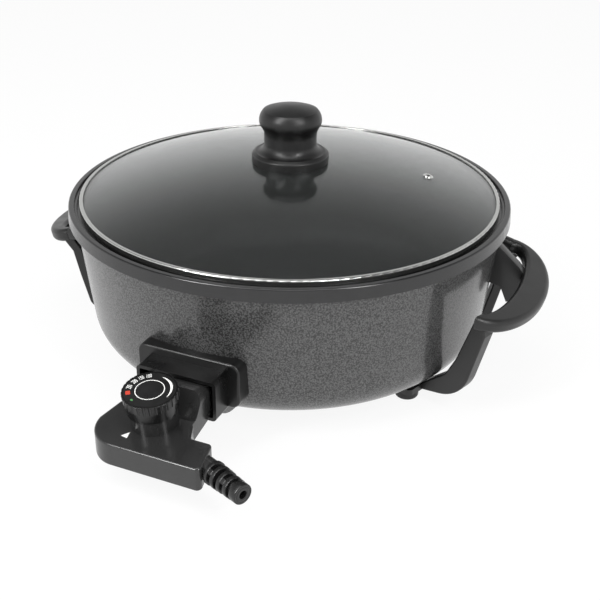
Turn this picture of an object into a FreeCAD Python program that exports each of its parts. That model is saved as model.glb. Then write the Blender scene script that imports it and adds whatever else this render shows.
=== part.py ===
"""Electric pizza maker: round cast pan on legs, domed glass lid, plug-in thermostat.

Millimetres, +Z up, the table at z = 0. The design frame has the pan's axis at x = y = 0, the
handles along X and the thermostat towards -Y. Every sub-part then moves together along Y, so
that the middle of the whole footprint is the origin.
"""

import FreeCAD, Part
import math
import os
import re

import Sketcher
from FreeCAD import Placement, Rotation, Vector

OUT = "parts"

# How far a cutting block reaches past what it cuts.
SPARE = 10

# Driving dimensions: name, value in millimetres or degrees, what it is.
SIZES = [
    ("base_height", 15.0, "pan: underside of the base above the table"),
    ("base_thickness", 6.0, "pan: thickness of the base"),
    ("root_overlap", 1.0, "how far a form reaches into the one that it grows from"),
    ("wall_top_radius", 205.0, "pan: outer wall at its top edge"),
    ("wall_flare", 14.4, "pan: outer wall at its top beyond where it would meet the base"),
    ("wall_top_height", 147.0, "pan: top edge of the wall"),
    ("pan_wall", 4.0, "pan: thickness of the wall"),
    ("corner_radius", 37.0, "pan: outer rounding between base and wall"),
    ("rim_overhang", 6.0, "rim: its lower edge outside the wall's top edge"),
    ("rim_skirt", 3.0, "rim: lower edge below the wall's top edge"),
    ("rim_rise", 8.5, "rim: top shoulder above the wall's top edge"),
    ("rim_wall", 2.5, "rim: thickness of the section"),
    ("rim_seat_depth", 10.0, "rim: inner edge of the lid's seat inside the wall's top edge"),
    ("rim_shoulder_width", 5.0, "rim: width of the top shoulder"),
    ("rim_step_width", 2.6, "rim: width of the step inside the shoulder"),
    ("rim_step_drop", 2.5, "rim: the step below the shoulder"),
    ("rim_taper", 1.0, "rim: outer top edge inside the lower edge"),
    ("rim_wall_gap", 0.3, "rim: gap outside the wall"),
    ("rim_draft", 0.2, "rim: draft of its upright faces"),
    ("rim_shoulder_round", 0.8, "rim: rounding and slope of the shoulder's inner edge"),
    ("rim_step_round", 0.6, "rim: rounding of the step's edge"),
    ("rim_round", 1.5, "rim: rounding of the outer top edge"),
    ("lid_play", 2.4, "lid: gap between its steel band and the rim"),
    ("lid_clearance", 0.3, "lid: gap above the seat"),
    ("lid_fit", 0.1, "lid: gap between the glass and what holds it"),
    ("dome_rise", 38.2, "lid: top of the glass above the band's lower edge"),
    ("dome_radius", 648.0, "lid: radius of the dome"),
    ("glass_thickness", 4.0, "lid: thickness of the glass"),
    ("glass_play", 0.2, "lid: gap between the glass and the band's wall"),
    ("glass_hole_gap", 0.5, "lid: gap round the knob's screw in the glass"),
    ("band_thickness", 0.8, "lid: sheet of the steel band"),
    ("band_lip", 3.6, "lid: how far the band's lips reach over the glass"),
    ("band_rise", 1.2, "lid: top of the band above the glass at its lip"),
    ("band_round", 1.1, "lid: outer rounding of the band's top"),
    ("band_lip_round", 0.4, "lid: inner rounding of the band's top"),
    ("vent_radius", 131.5, "vent: distance from the lid's axis"),
    ("vent_angle", 21.0, "vent: direction from +X"),
    ("vent_bore_radius", 2.0, "vent: steam hole"),
    ("vent_flange_radius", 5.2, "vent: flange of the eyelet"),
    ("vent_sheet", 0.8, "vent: thickness of the eyelet"),
    ("eyelet_lap", 1.4, "vent: foot of the eyelet outside its tube"),
    ("eyelet_taper", 0.5, "vent: slope of the flange's edge"),
    ("knob_height", 53.5, "knob: top above its flange's underside"),
    ("knob_flange_radius", 36.5, "knob: flange"),
    ("knob_waist_radius", 24.8, "knob: waist"),
    ("knob_cap_radius", 29.5, "knob: cap"),
    ("knob_gap", 0.2, "knob: gap between its flange and the glass"),
    ("knob_edge_height", 7.5, "knob: top of the flange's edge"),
    ("knob_edge_round", 2.0, "knob: rounding of the flange's edge"),
    ("knob_shoulder_height", 9.5, "knob: shoulder of the flange"),
    ("knob_shoulder_inset", 3.5, "knob: shoulder inside the flange's edge"),
    ("knob_waist_bottom", 17.0, "knob: lower end of the waist"),
    ("knob_waist_top", 25.0, "knob: upper end of the waist"),
    ("knob_cap_bottom", 33.5, "knob: underside of the cap"),
    ("knob_cap_bottom_inset", 2.0, "knob: underside of the cap inside its radius"),
    ("knob_cap_middle", 39.5, "knob: widest height of the cap"),
    ("knob_cap_shoulder", 49.0, "knob: shoulder of the cap"),
    ("knob_cap_shoulder_inset", 4.0, "knob: shoulder of the cap inside its radius"),
    ("knob_foot_curve", 7.6, "knob: hollow between flange and waist"),
    ("knob_neck_curve", 14.7, "knob: hollow between waist and cap"),
    ("knob_lower_curve", 9.0, "knob: round of the cap below its middle"),
    ("knob_upper_curve", 13.0, "knob: round of the cap above its middle"),
    ("knob_screw_radius", 3.0, "knob: screw shank"),
    ("knob_screw_length", 18.0, "knob: screw shank inside the knob"),
    ("washer_radius", 14.0, "knob: washer under the glass"),
    ("washer_thickness", 2.0, "knob: washer under the glass"),
    ("washer_gap", 0.2, "knob: gap round and above the washer"),
    ("element_radius", 120.0, "element: radius of the ring"),
    ("element_tube", 4.0, "element: radius of the sheath"),
    ("element_bend", 14.0, "element: bend radius of the sheath"),
    ("element_end_bend", 7.0, "element: bend radius of its ends behind the pins"),
    ("element_depth", 4.5, "element: centre of the sheath below the base's underside"),
    ("element_gap", 0.1, "element: gap round the sheath in its groove"),
    ("sheath_stand", 0.5, "element: its sheath beyond the guard's web"),
    ("ridge_width", 17.0, "pan: ridge that holds the element"),
    ("ridge_depth", 7.5, "pan: ridge below the base's underside"),
    ("ridge_round", 2.0, "pan: rounding of the ridge's edges"),
    ("terminal_spacing", 30.0, "terminals: distance between the two pins"),
    ("terminal_height", 53.0, "terminals: height above the table"),
    ("terminal_pin_radius", 2.4, "terminals: radius of the pins"),
    ("terminal_pin_length", 14.0, "terminals: pin beyond the sheath"),
    ("pin_point", 1.2, "terminals: length of the pins' tapered ends"),
    ("pin_point_taper", 1.0, "terminals: narrowing of those ends"),
    ("bead_radius", 4.6, "terminals: insulating bead"),
    ("bead_length", 2.7, "terminals: insulating bead"),
    ("bead_taper", 0.8, "terminals: narrowing of the bead"),
    ("earth_height", 59.8, "terminals: height of the earth pin"),
    ("probe_height", 49.0, "probe: height of its axis"),
    ("probe_radius", 3.8, "probe: radius of the tube"),
    ("probe_insertion", 6.8, "probe: how far its tip goes into the boss"),
    ("sleeve_wall", 1.8, "probe: wall of the sleeve in the boss"),
    ("sleeve_bite", 8.6, "probe: how deep the sleeve sits in the boss"),
    ("sleeve_stand", 2.6, "probe: how far the sleeve stands out of the boss"),
    ("sleeve_mouth", 0.6, "probe: widened mouth of the sleeve"),
    ("earth_bite", 6.0, "terminals: how deep the earth pin sits in the boss"),
    ("earth_collar_radius", 4.2, "terminals: collar of the earth pin"),
    ("earth_collar", 1.5, "terminals: thickness of that collar"),
    ("plug_clearance", 0.3, "gap round the pins and the probe"),
    ("boss_stand", 13.2, "pan: face of the terminal boss outside the wall's foot"),
    ("boss_half_width", 30.0, "pan: terminal boss behind the guard"),
    ("boss_top", 70.0, "pan: top of the terminal boss"),
    ("boss_corner", 4.0, "pan: rounding of the terminal boss"),
    ("rib_half_width", 20.0, "pan: rib that covers the element's ends"),
    ("guard_half_width", 48.5, "guard: flange"),
    ("guard_bottom", 41.0, "guard: lower edge of the flange"),
    ("guard_top", 83.0, "guard: upper edge of the flange"),
    ("guard_corner", 8.0, "guard: rounding of the flange's corners"),
    ("guard_round", 2.0, "guard: rounding of the front edges"),
    ("guard_gap", 0.2, "guard: gap to the wall and the boss"),
    ("guard_web", 2.0, "guard: web in front of the boss"),
    ("guard_depth", 20.0, "guard: flange from its front back to the wall"),
    ("guard_hole_gap", 0.8, "guard: gap round what passes its web"),
    ("guard_screw_gap", 0.2, "guard: gap round its screws"),
    ("web_gap", 0.3, "guard: gap round the sleeve and the earth pin's collar"),
    ("shroud_length", 20.0, "guard: shroud in front of the flange"),
    ("shroud_half_width", 37.5, "guard: shroud"),
    ("shroud_bottom", 38.0, "guard: lower face of the shroud"),
    ("shroud_top", 75.0, "guard: upper face of the shroud"),
    ("shroud_wall", 3.0, "guard: thickness of the shroud"),
    ("shroud_corner", 4.0, "guard: outer corners of the shroud"),
    ("shroud_inner_corner", 1.5, "guard: inner corners of the shroud"),
    ("guard_screw_spacing", 50.0, "guard: distance between its screws"),
    ("guard_screw_height", 64.0, "guard: height of its screws"),
    ("guard_screw_radius", 1.75, "guard: shank of its screws"),
    ("guard_screw_bite", 8.0, "guard: how far its screws go into the boss"),
    ("screw_head_ratio", 1.85, "screws: head radius over shank radius"),
    ("screw_head_height", 2.0, "screws: height of the heads"),
    ("thread_gap", 0.5, "screws: room beyond the thread's end"),
    ("handle_stand", 3.0, "handle: centre of the loop's ellipses outside the wall's top edge"),
    ("handle_reach", 45.5, "handle: loop beyond that centre"),
    ("handle_half_width", 87.0, "handle: half width of the loop"),
    ("grip_reach", 19.5, "handle: opening beyond that centre"),
    ("grip_half_width", 75.0, "handle: half width of the opening"),
    ("strut_end_depth", 2.0, "handle: loop's end over the strut inside the wall's top radius"),
    ("leg_end_stand", 23.0, "handle: loop's end over the leg outside the wall's top radius"),
    ("handle_height", 102.6, "handle: middle of the loop at that centre above the table"),
    ("handle_lean", 15.0, "handle: fall of the loop outwards"),
    ("handle_thickness", 13.0, "handle: thickness of the loop"),
    ("handle_round", 4.5, "handle: rounding of the loop's edges"),
    ("leg_angle", 19.0, "leg: direction from the handle's axis"),
    ("strut_angle", 21.0, "strut: direction from the handle's axis"),
    ("leg_width", 14.0, "leg: width across"),
    ("leg_round", 1.5, "leg: rounding of its edges"),
    ("pad_inner_radius", 138.0, "leg: inner end of the arm under the base"),
    ("pad_thickness", 6.0, "leg: thickness of that arm"),
    ("handle_screw_place", 147.0, "leg: its screw from the pan's axis"),
    ("handle_screw_radius", 2.5, "leg: shank of its screw"),
    ("handle_screw_bite", 4.0, "leg: how far the screw goes into the base"),
    ("handle_thread_gap", 0.3, "leg: room beyond the screw's end"),
    ("foot_place", 162.0, "foot: distance from the pan's axis"),
    ("foot_angle", 22.8, "foot: direction from the handle's axis"),
    ("foot_margin", 2.0, "foot: arm round it"),
    ("foot_radius", 11.0, "foot: radius"),
    ("foot_round", 3.0, "foot: rounding of its lower edge"),
    ("foot_spigot_radius", 4.0, "foot: spigot in the arm"),
    ("foot_spigot_length", 3.5, "foot: spigot in the arm"),
    ("foot_spigot_gap", 0.3, "foot: room above the spigot"),
    ("neck_gap", 4.0, "thermostat: front of the neck from the guard's flange"),
    ("neck_half_width", 31.0, "thermostat: neck"),
    ("neck_bottom", 42.0, "thermostat: underside of the neck in the shroud"),
    ("neck_top", 70.5, "thermostat: top of the neck"),
    ("neck_round", 9.0, "thermostat: rounding of the neck's top corners"),
    ("neck_top_length", 25.0, "thermostat: level top of the neck"),
    ("neck_fall", 12.0, "thermostat: sloping end of that top"),
    ("neck_stop", 10.0, "thermostat: end of the neck's form before the dial's axis"),
    ("case_length", 87.0, "thermostat: front face from the neck's front"),
    ("case_start", 33.0, "thermostat: where the case widens, from the neck's front"),
    ("case_step_gap", 3.0, "thermostat: widening of the case in front of the shroud"),
    ("case_slant", 4.0, "thermostat: fall of the back edge beside the neck"),
    ("case_left_start", 4.0, "thermostat: full width on the left, beyond the wing's back edge"),
    ("case_left", 45.5, "thermostat: left side"),
    ("case_right", 61.5, "thermostat: right side at the front face"),
    ("end_angle", 10.0, "thermostat: turn of the end face from the pan's axis"),
    ("case_left_back", 39.5, "thermostat: left side at its back corner"),
    ("case_shoulder_round", 6.0, "thermostat: back left corner"),
    ("case_left_round", 25.0, "thermostat: front left corner"),
    ("case_right_round", 4.0, "thermostat: front right corner"),
    ("wing_stand", 57.0, "thermostat: back edge of the right wing from the neck's front"),
    ("wing_start", 37.0, "thermostat: inner end of that back edge"),
    ("wing_root", 15.0, "thermostat: slope between the neck and the wing"),
    ("wing_round", 3.5, "thermostat: outer back corner of the wing"),
    ("wing_root_round", 3.0, "thermostat: hollow corner where the wing starts"),
    ("case_back_bottom", 40.0, "thermostat: underside just outside the shroud"),
    ("parting_back", 54.0, "thermostat: joint of the housing's halves at the neck's front"),
    ("parting_front", 35.0, "thermostat: joint of the housing's halves at the front face"),
    ("tower_radius", 3.6, "thermostat: screw bosses inside"),
    ("case_screw_radius", 1.5, "thermostat: shank of the housing screws"),
    ("case_screw_bite", 5.0, "thermostat: how far those screws go into the upper half"),
    ("case_screw_depth", 3.0, "thermostat: seat of the housing screws above the underside"),
    ("case_thread_fit", 0.05, "thermostat: gap round the housing screws"),
    ("case_head_gap", 0.2, "thermostat: gap round the heads of those screws"),
    ("block_depth", 14.0, "thermostat: contact block"),
    ("inner_gap", 0.1, "thermostat: gap of the pieces fitted in the housing"),
    ("socket_wall", 1.0, "thermostat: wall of the contact sockets"),
    ("socket_length", 16.5, "thermostat: length of the contact sockets"),
    ("socket_mouth", 0.5, "thermostat: flared mouth of the contact sockets"),
    ("socket_inset", 0.3, "thermostat: sockets behind the block's face"),
    ("probe_tail", 2.0, "probe: length behind the contact block"),
    ("probe_tip_round", 1.5, "probe: rounding of its closed tip"),
    ("case_front_top", 45.0, "thermostat: top at the front face"),
    ("case_front_bottom", 25.0, "thermostat: underside at the front face"),
    ("case_lean", 8.0, "thermostat: slope of the top and of the dial's axis"),
    ("case_wall", 2.4, "thermostat: thickness of the housing"),
    ("case_round", 2.0, "thermostat: rounding of the top edges"),
    ("dial_stand", 50.0, "dial: its axis at the top of the housing, from the neck's front"),
    ("turret_radius", 19.5, "dial: turret of the housing"),
    ("turret_height", 14.0, "dial: turret above the housing's top"),
    ("turret_wall", 3.0, "dial: thickness of the turret"),
    ("switch_shift", 4.0, "switch: its middle in front of the dial's axis"),
    ("switch_plate_width", 24.0, "switch: plate, across"),
    ("switch_plate_length", 34.0, "switch: plate, along"),
    ("switch_plate_ahead", 20.0, "switch: plate in front of its middle"),
    ("switch_plate", 1.5, "switch: thickness of the plate"),
    ("post_width", 10.0, "switch: post, across"),
    ("post_length", 7.0, "switch: post, along"),
    ("post_height", 3.5, "switch: height of the post"),
    ("post_behind", 6.0, "switch: front of the post behind the middle"),
    ("blade_width", 6.0, "switch: blades, across"),
    ("blade_length", 29.0, "switch: length of the lower blade"),
    ("blade_step", 2.0, "switch: how much shorter the upper blade is"),
    ("blade_sheet", 0.5, "switch: thickness of the blades"),
    ("blade_ahead", 16.0, "switch: tip of the lower blade in front of the middle"),
    ("blade_level", 4.5, "switch: lower blade above the floor"),
    ("blade_pitch", 2.5, "switch: upper blade above the lower one"),
    ("spacer_behind", 6.5, "switch: front of the spacer behind the middle"),
    ("spacer_length", 6.0, "switch: spacer between the blades"),
    ("contact_radius", 1.8, "switch: contact"),
    ("contact_height", 0.8, "switch: height of the contact"),
    ("contact_ahead", 12.0, "switch: contact in front of the middle"),
    ("clamp_x", 44.0, "clamp: its middle, sideways"),
    ("clamp_length", 5.0, "clamp: along the cord"),
    ("clamp_width", 10.0, "clamp: across the cord"),
    ("clamp_height", 2.5, "clamp: height of the bar"),
    ("dial_gap", 0.5, "dial: gap above the turret"),
    ("dial_height", 18.0, "dial: height of the knob"),
    ("dial_radius", 23.0, "dial: radius of the face"),
    ("dial_skirt_radius", 21.6, "dial: radius of the lower skirt"),
    ("dial_skirt_height", 10.0, "dial: height of the lower skirt"),
    ("dial_wall", 2.0, "dial: thickness of the skirt"),
    ("dial_hub_wall", 3.0, "dial: wall of the hub round the spindle"),
    ("dial_hub_recess", 1.5, "dial: hub above the skirt's lower edge"),
    ("dial_skirt_draft", 0.6, "dial: narrowing of the lower skirt"),
    ("dial_face_draft", 0.4, "dial: narrowing of the upper tier"),
    ("dial_face_round", 0.6, "dial: rounding of the face's edge"),
    ("dial_flute_radius", 1.3, "dial: radius of a flute"),
    ("dial_flute_stand", 0.5, "dial: middle of a flute outside the face's edge"),
    ("dial_flutes", 30.0, "dial: number of flutes"),
    ("plate_radius", 21.0, "dial: printed plate in the face"),
    ("plate_thickness", 0.8, "dial: printed plate in the face"),
    ("spindle_radius", 3.0, "dial: spindle"),
    ("spindle_fit", 0.06, "dial: running gap of the spindle in its bearing"),
    ("spindle_tail", 5.0, "dial: spindle below the top of the housing"),
    ("spindle_point", 2.0, "dial: tapered end of the spindle"),
    ("spindle_point_taper", 1.0, "dial: narrowing of that end"),
    ("spindle_collar", 2.0, "dial: thickness of the spindle's collar"),
    ("spindle_collar_stand", 2.0, "dial: collar outside the spindle"),
    ("spindle_play", 0.3, "dial: gap between the collar and the turret"),
    ("boot_turn", 24.0, "boot: its direction from +X towards -Y"),
    ("boot_x", 66.0, "boot: middle of the collar's end, sideways"),
    ("boot_stand", 74.8, "boot: middle of the collar's end from the neck's front"),
    ("boot_height", 37.2, "boot: axis above the table"),
    ("collar_radius", 9.0, "thermostat: collar round the boot's neck"),
    ("collar_length", 15.5, "thermostat: length of the collar, inside and outside the end face"),
    ("boot_neck_radius", 4.6, "boot: neck in the collar"),
    ("boot_flange_radius", 5.4, "boot: flange inside the housing"),
    ("boot_flange", 2.5, "boot: thickness of that flange"),
    ("boot_fit", 0.05, "boot: gap round its neck"),
    ("boot_length", 36.7, "boot: length outside the collar"),
    ("boot_radius", 10.2, "boot: radius of its ribs"),
    ("boot_tip_radius", 8.6, "boot: radius of the last rib"),
    ("boot_groove_radius", 6.6, "boot: radius between the ribs"),
    ("boot_tip_wall", 1.5, "boot: wall at its tip"),
    ("boot_ribs", 5.0, "boot: number of ribs"),
    ("cord_radius", 3.5, "boot: bore for the cord"),
]

# Values worked out from the driving dimensions.
WORKED_OUT = {
    "pan_floor": "base_height + base_thickness",
    "wall_base_radius": "wall_top_radius - wall_flare",
    "wall_slope": "(wall_top_radius - wall_base_radius) / (wall_top_height - base_height)",
    "wall_stretch": "sqrt(1 + wall_slope ^ 2)",
    "wall_across": "pan_wall * wall_stretch",
    "cavity_base_radius": "wall_base_radius + wall_slope * base_thickness - wall_across",
    "cavity_top_radius": "wall_top_radius - wall_across",
    "corner_height": "base_height + corner_radius",
    "corner_reach": "wall_base_radius + wall_slope * corner_radius - corner_radius * wall_stretch",
    "seat_height": "wall_top_height + rim_wall",
    "rim_radius": "wall_top_radius + rim_overhang",
    "rim_skirt_height": "wall_top_height - rim_skirt",
    "rim_top_height": "wall_top_height + rim_rise",
    "rim_seat_radius": "wall_top_radius - rim_seat_depth",
    "rim_top_radius": "rim_radius - rim_taper",
    "rim_shoulder_radius": "rim_top_radius - rim_shoulder_width",
    "rim_inner_radius": "rim_shoulder_radius - rim_step_width",
    "rim_step_height": "rim_top_height - rim_step_drop",
    "lid_radius": "rim_inner_radius - lid_play",
    "glass_radius": "lid_radius - band_thickness - glass_play",
    "band_lip_radius": "lid_radius - band_lip",
    "band_bottom": "seat_height + lid_clearance",
    "dome_top": "band_bottom + dome_rise",
    "dome_centre": "dome_top - dome_radius",
    "washer_top": "dome_top - glass_thickness - lid_fit",
    "washer_bottom": "washer_top - washer_thickness",
    "ring_height": "base_height - element_depth",
    "ridge_bottom": "base_height - ridge_depth",
    "element_run": "corner_radius + element_depth",
    "terminal_offset": "terminal_spacing / 2",
    "sleeve_radius": "probe_radius + plug_clearance + sleeve_wall",
    "boss_reach": "wall_base_radius + boss_stand",
    "guard_reach": "boss_reach + guard_gap + guard_web",
    "shroud_reach": "guard_reach + shroud_length",
    "probe_tip": "boss_reach - probe_insertion",
    "sheath_end": "guard_reach + sheath_stand",
    "handle_centre": "wall_top_radius + handle_stand",
    "arm_underside": "base_height - pad_thickness",
    "neck_reach": "guard_reach + neck_gap",
    "case_front": "neck_reach + case_length",
    "case_back": "neck_reach + case_start",
    "wing_back": "neck_reach + wing_stand",
    "dial_place": "neck_reach + dial_stand",
    "boot_y": "neck_reach + boot_stand",
    "boot_side": "boot_length * sin(boot_turn) + boot_tip_radius * cos(boot_turn)",
    "pan_axis_y": "(boot_y + boot_side - rim_radius) / 2",
    "case_top_back": "case_front_top + (case_front - dial_place) * tan(case_lean)",
    "case_step": "shroud_reach + case_step_gap",
    "floor_slope": "(case_back_bottom - case_front_bottom) / (case_front - case_step)",
    "parting_slope": "(parting_back - parting_front) / (case_front - neck_reach)",
    "dial_bottom": "turret_height + dial_gap",
    "dial_top": "dial_bottom + dial_height",
    "dial_ceiling": "dial_top - plate_thickness - dial_wall",
}

doc = FreeCAD.newDocument("PizzaMaker")
sheet = doc.addObject("Spreadsheet::Sheet", "sizes")
for row, (name, size, meaning) in enumerate(SIZES, start=1):
    sheet.set(f"A{row}", meaning)
    sheet.set(f"B{row}", str(size))
    sheet.setAlias(f"B{row}", name)
doc.recompute()

NAMES = {name for name, size, meaning in SIZES}
subparts = {}


def formula(text):
    """Write a formula of size names as an expression that reads the sheet."""

    def swap(match):
        word = match.group(0)
        if word in NAMES:
            return f"sizes.{word}"
        if word in WORKED_OUT:
            return f"({formula(WORKED_OUT[word])})"
        return word

    return re.sub(r"[a-z][a-z_]*", swap, str(text))


def value(text):
    """Work a formula out as a plain number."""
    result = sheet.evalExpression(formula(text))
    return float(getattr(result, "Value", result))


def point(x, y, z):
    """A point in space from three formulas."""
    return Vector(value(x), value(y), value(z))


def tie(made, **properties):
    """Bind properties of an object to formulas."""
    for name, text in properties.items():
        made.setExpression(name, formula(text))
    return made


def turned(axis, angle):
    """A rotation about an axis by an angle that is given as a formula."""
    return Rotation(axis, value(angle))


ALONG_X = Vector(1, 0, 0)
ALONG_Y = Vector(0, 1, 0)
ALONG_Z = Vector(0, 0, 1)


def finish(label, made):
    """Name a sub-part and move it from the design frame to the part's own frame."""
    made.Label = label
    made.Placement = Placement(point("0", "pan_axis_y", "0"), Rotation()) * made.Placement
    subparts[label] = made


# Sketches of the bodies


def new_body(name, placement=None):
    """Start a body, placed in the design frame."""
    body = doc.addObject("PartDesign::Body", name)
    body.Placement = placement or Placement()
    return body


def new_sketch(body, plane, offset="0"):
    """Start a sketch on one of the body's own planes, moved along the plane's normal."""
    sketch = body.newObject("Sketcher::SketchObject", f"{body.Name}_sketch")
    support = next(item for item in body.Origin.OriginFeatures if item.Role == plane)
    sketch.AttachmentSupport = [(support, "")]
    sketch.MapMode = "FlatFace"
    sketch.setExpression(".AttachmentOffset.Base.z", formula(offset))
    return sketch


def constrain(sketch, text, *constraint):
    """Add a constraint whose size is a formula."""
    number = sketch.addConstraint(Sketcher.Constraint(*constraint, value(text)))
    sketch.setExpression(f"Constraints[{number}]", formula(text))


def outline(sketch, corners, rounds=None, arcs=None):
    """Draw a closed outline through corners, each a pair of formulas.

    rounds gives the radius of a rounded corner by the corner's number. arcs gives the radius of
    the arc that runs from a corner to the next one: positive turns left, negative turns right.
    """
    rounds = rounds or {}
    arcs = arcs or {}
    count = len(corners)
    spots = [Vector(value(x), value(y), 0) for x, y in corners]
    marks = []
    for spot, (x, y) in zip(spots, corners):
        mark = sketch.addGeometry(Part.Point(spot), True)
        constrain(sketch, x, "DistanceX", mark, 1)
        constrain(sketch, y, "DistanceY", mark, 1)
        marks.append(mark)
    cuts = [0.0] * count
    for number, radius in rounds.items():
        before = spots[number - 1] - spots[number]
        after = spots[(number + 1) % count] - spots[number]
        cuts[number] = value(radius) / math.tan(before.getAngle(after) / 2)
    sides = []
    for number, start in enumerate(spots):
        stop = spots[(number + 1) % count]
        if number in arcs:
            sides.append(add_arc(sketch, start, stop, arcs[number]))
        else:
            along = (stop - start).normalize()
            stop_cut = cuts[(number + 1) % count]
            line = Part.LineSegment(start + along * cuts[number], stop - along * stop_cut)
            sides.append((sketch.addGeometry(line, False), 1, 2))
    for number, mark in enumerate(marks):
        before, after = sides[number - 1], sides[number]
        if number in rounds:
            add_round(sketch, mark, before, after, rounds[number])
        else:
            sketch.addConstraint(Sketcher.Constraint("Coincident", before[0], before[2], mark, 1))
            sketch.addConstraint(Sketcher.Constraint("Coincident", after[0], after[1], mark, 1))
    return sketch


def add_arc(sketch, start, stop, radius):
    """Add an arc between two corners; returns it and its ends in the outline's order."""
    size = value(radius)
    chord = stop - start
    left = Vector(-chord.y, chord.x, 0).normalize()
    height = math.sqrt(size**2 - (chord.Length / 2) ** 2)
    centre = (start + stop) * 0.5 + left * math.copysign(height, size)
    circle = Part.Circle(centre, ALONG_Z, abs(size))
    first, last = (start, stop) if size > 0 else (stop, start)
    ends = circle.parameter(first), circle.parameter(last)
    arc = sketch.addGeometry(Part.ArcOfCircle(circle, *ends), False)
    constrain(sketch, f"abs({radius})", "Radius", arc)
    return (arc, 1, 2) if size > 0 else (arc, 2, 1)


def add_round(sketch, mark, before, after, radius):
    """Round the corner at a mark with an arc that is tangent to the sides before and after it."""
    first = sketch.getPoint(before[0], before[2])
    last = sketch.getPoint(after[0], after[1])
    spot = sketch.getPoint(mark, 1)
    inward = ((first - spot).normalize() + (last - spot).normalize()).normalize()
    centre = spot + inward * math.hypot(value(radius), (first - spot).Length)
    circle = Part.Circle(centre, ALONG_Z, value(radius))
    turns_left = (spot - first).cross(last - spot).z > 0
    one, two = (first, last) if turns_left else (last, first)
    ends = circle.parameter(one), circle.parameter(two)
    arc = sketch.addGeometry(Part.ArcOfCircle(circle, *ends), False)
    sketch.addConstraint(Sketcher.Constraint("PointOnObject", mark, 1, before[0]))
    sketch.addConstraint(Sketcher.Constraint("PointOnObject", mark, 1, after[0]))
    start, stop = (1, 2) if turns_left else (2, 1)
    sketch.addConstraint(Sketcher.Constraint("Tangent", before[0], before[2], arc, start))
    sketch.addConstraint(Sketcher.Constraint("Tangent", after[0], after[1], arc, stop))
    constrain(sketch, radius, "Radius", arc)


def add_circle(sketch, x, y, radius):
    """Draw a circle about a point that is given by two formulas."""
    circle = sketch.addGeometry(Part.Circle(Vector(value(x), value(y), 0), ALONG_Z, value(radius)), False)
    constrain(sketch, x, "DistanceX", circle, 3)
    constrain(sketch, y, "DistanceY", circle, 3)
    constrain(sketch, radius, "Radius", circle)
    return sketch


# Features of the bodies


def feature(body, kind, sketch, **properties):
    """Add a feature that is made from a sketch."""
    made = body.newObject(f"PartDesign::{kind}", f"{body.Name}_{kind.lower()}")
    made.Profile = sketch
    sketch.Visibility = False
    return tie(made, **properties)


def pad(body, sketch, length, both_ways=False, backwards=False):
    """Pad a sketch along its normal."""
    made = feature(body, "Pad", sketch, Length=length)
    made.Midplane = both_ways
    made.Reversed = backwards
    return made


def pocket(body, sketch, length, both_ways=False, backwards=False):
    """Cut a sketch against its normal."""
    made = feature(body, "Pocket", sketch, Length=length)
    made.Midplane = both_ways
    made.Reversed = backwards
    return made


def revolve(body, sketch):
    """Turn a sketch all the way round its vertical axis."""
    made = feature(body, "Revolution", sketch)
    made.ReferenceAxis = (sketch, ["V_Axis"])
    made.Angle = 360
    return made


def groove(body, sketch):
    """Cut all the way round the vertical axis of a sketch."""
    made = feature(body, "Groove", sketch)
    made.ReferenceAxis = (sketch, ["V_Axis"])
    made.Angle = 360
    return made


def turned_body(name, corners, rounds=None, arcs=None, placement=None):
    """A body that is one profile turned round its own Z axis; corners are (radius, height)."""
    body = new_body(name, placement)
    revolve(body, outline(new_sketch(body, "XZ_Plane"), corners, rounds, arcs))
    return body


def cylinder(name, radius, length, placement=None):
    """A round bar along its own Z axis."""
    made = tie(doc.addObject("Part::Cylinder", name), Radius=radius, Height=length)
    made.Placement = placement or Placement()
    return made


def box(name, length, width, height, placement):
    """A block from its own origin towards +X, +Y and +Z."""
    made = tie(doc.addObject("Part::Box", name), Length=length, Width=width, Height=height)
    made.Placement = placement
    return made


def cut(name, base, *tools):
    """Take tools away from a base."""
    for number, tool in enumerate(tools, start=1):
        made = doc.addObject("Part::Cut", f"{name}_cut{number}")
        made.Base = base
        made.Tool = tool
        base = made
    return base


def fuse(name, *shapes):
    """Join shapes into one solid."""
    made = doc.addObject("Part::MultiFuse", name)
    made.Shapes = list(shapes)
    return made


def common(name, base, tool):
    """Keep what lies in both."""
    made = doc.addObject("Part::Common", name)
    made.Base = base
    made.Tool = tool
    return made


def group(name, shapes):
    """Keep several equal solids together as one sub-part."""
    made = doc.addObject("Part::Compound", name)
    made.Links = shapes
    return made


def rounded(body, base, radius, picked):
    """Round the edges of a body's feature that a test picks out."""
    doc.recompute()
    edges = [f"Edge{number}" for number, edge in enumerate(base.Shape.Edges, start=1) if picked(edge)]
    made = body.newObject("PartDesign::Fillet", f"{body.Name}_round")
    made.Base = (base, edges)
    return tie(made, Radius=radius)


# Places in the design frame

TO_FRONT = Rotation(ALONG_X, 90)
TO_BACK = Rotation(ALONG_X, -90)
HANDLE_TURNS = {"right": 0, "left": 180}


def frontwards(x, reach, height):
    """A frame whose Z axis points away from the pan towards -Y."""
    return Placement(point(x, f"-({reach})", height), TO_FRONT)


def around(radius, angle, height):
    """A frame at a distance from the pan's axis, its X axis pointing away from that axis."""
    place = point(f"({radius}) * cos({angle})", f"({radius}) * sin({angle})", height)
    return Placement(place, turned(ALONG_Z, angle))


def arm_angles():
    """Directions of the four arms under the pan: a leg and a strut for each handle."""
    angles = {}
    for side, turn in HANDLE_TURNS.items():
        angles[side, "leg"] = f"{turn} - leg_angle"
        angles[side, "strut"] = f"{turn} + strut_angle"
    return angles


def dome(radius, inwards="0"):
    """Height of the lid's dome at a radius, at a depth below the outer surface."""
    return f"(dome_centre + sqrt((dome_radius - {inwards}) ^ 2 - ({radius}) ^ 2))"


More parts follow.
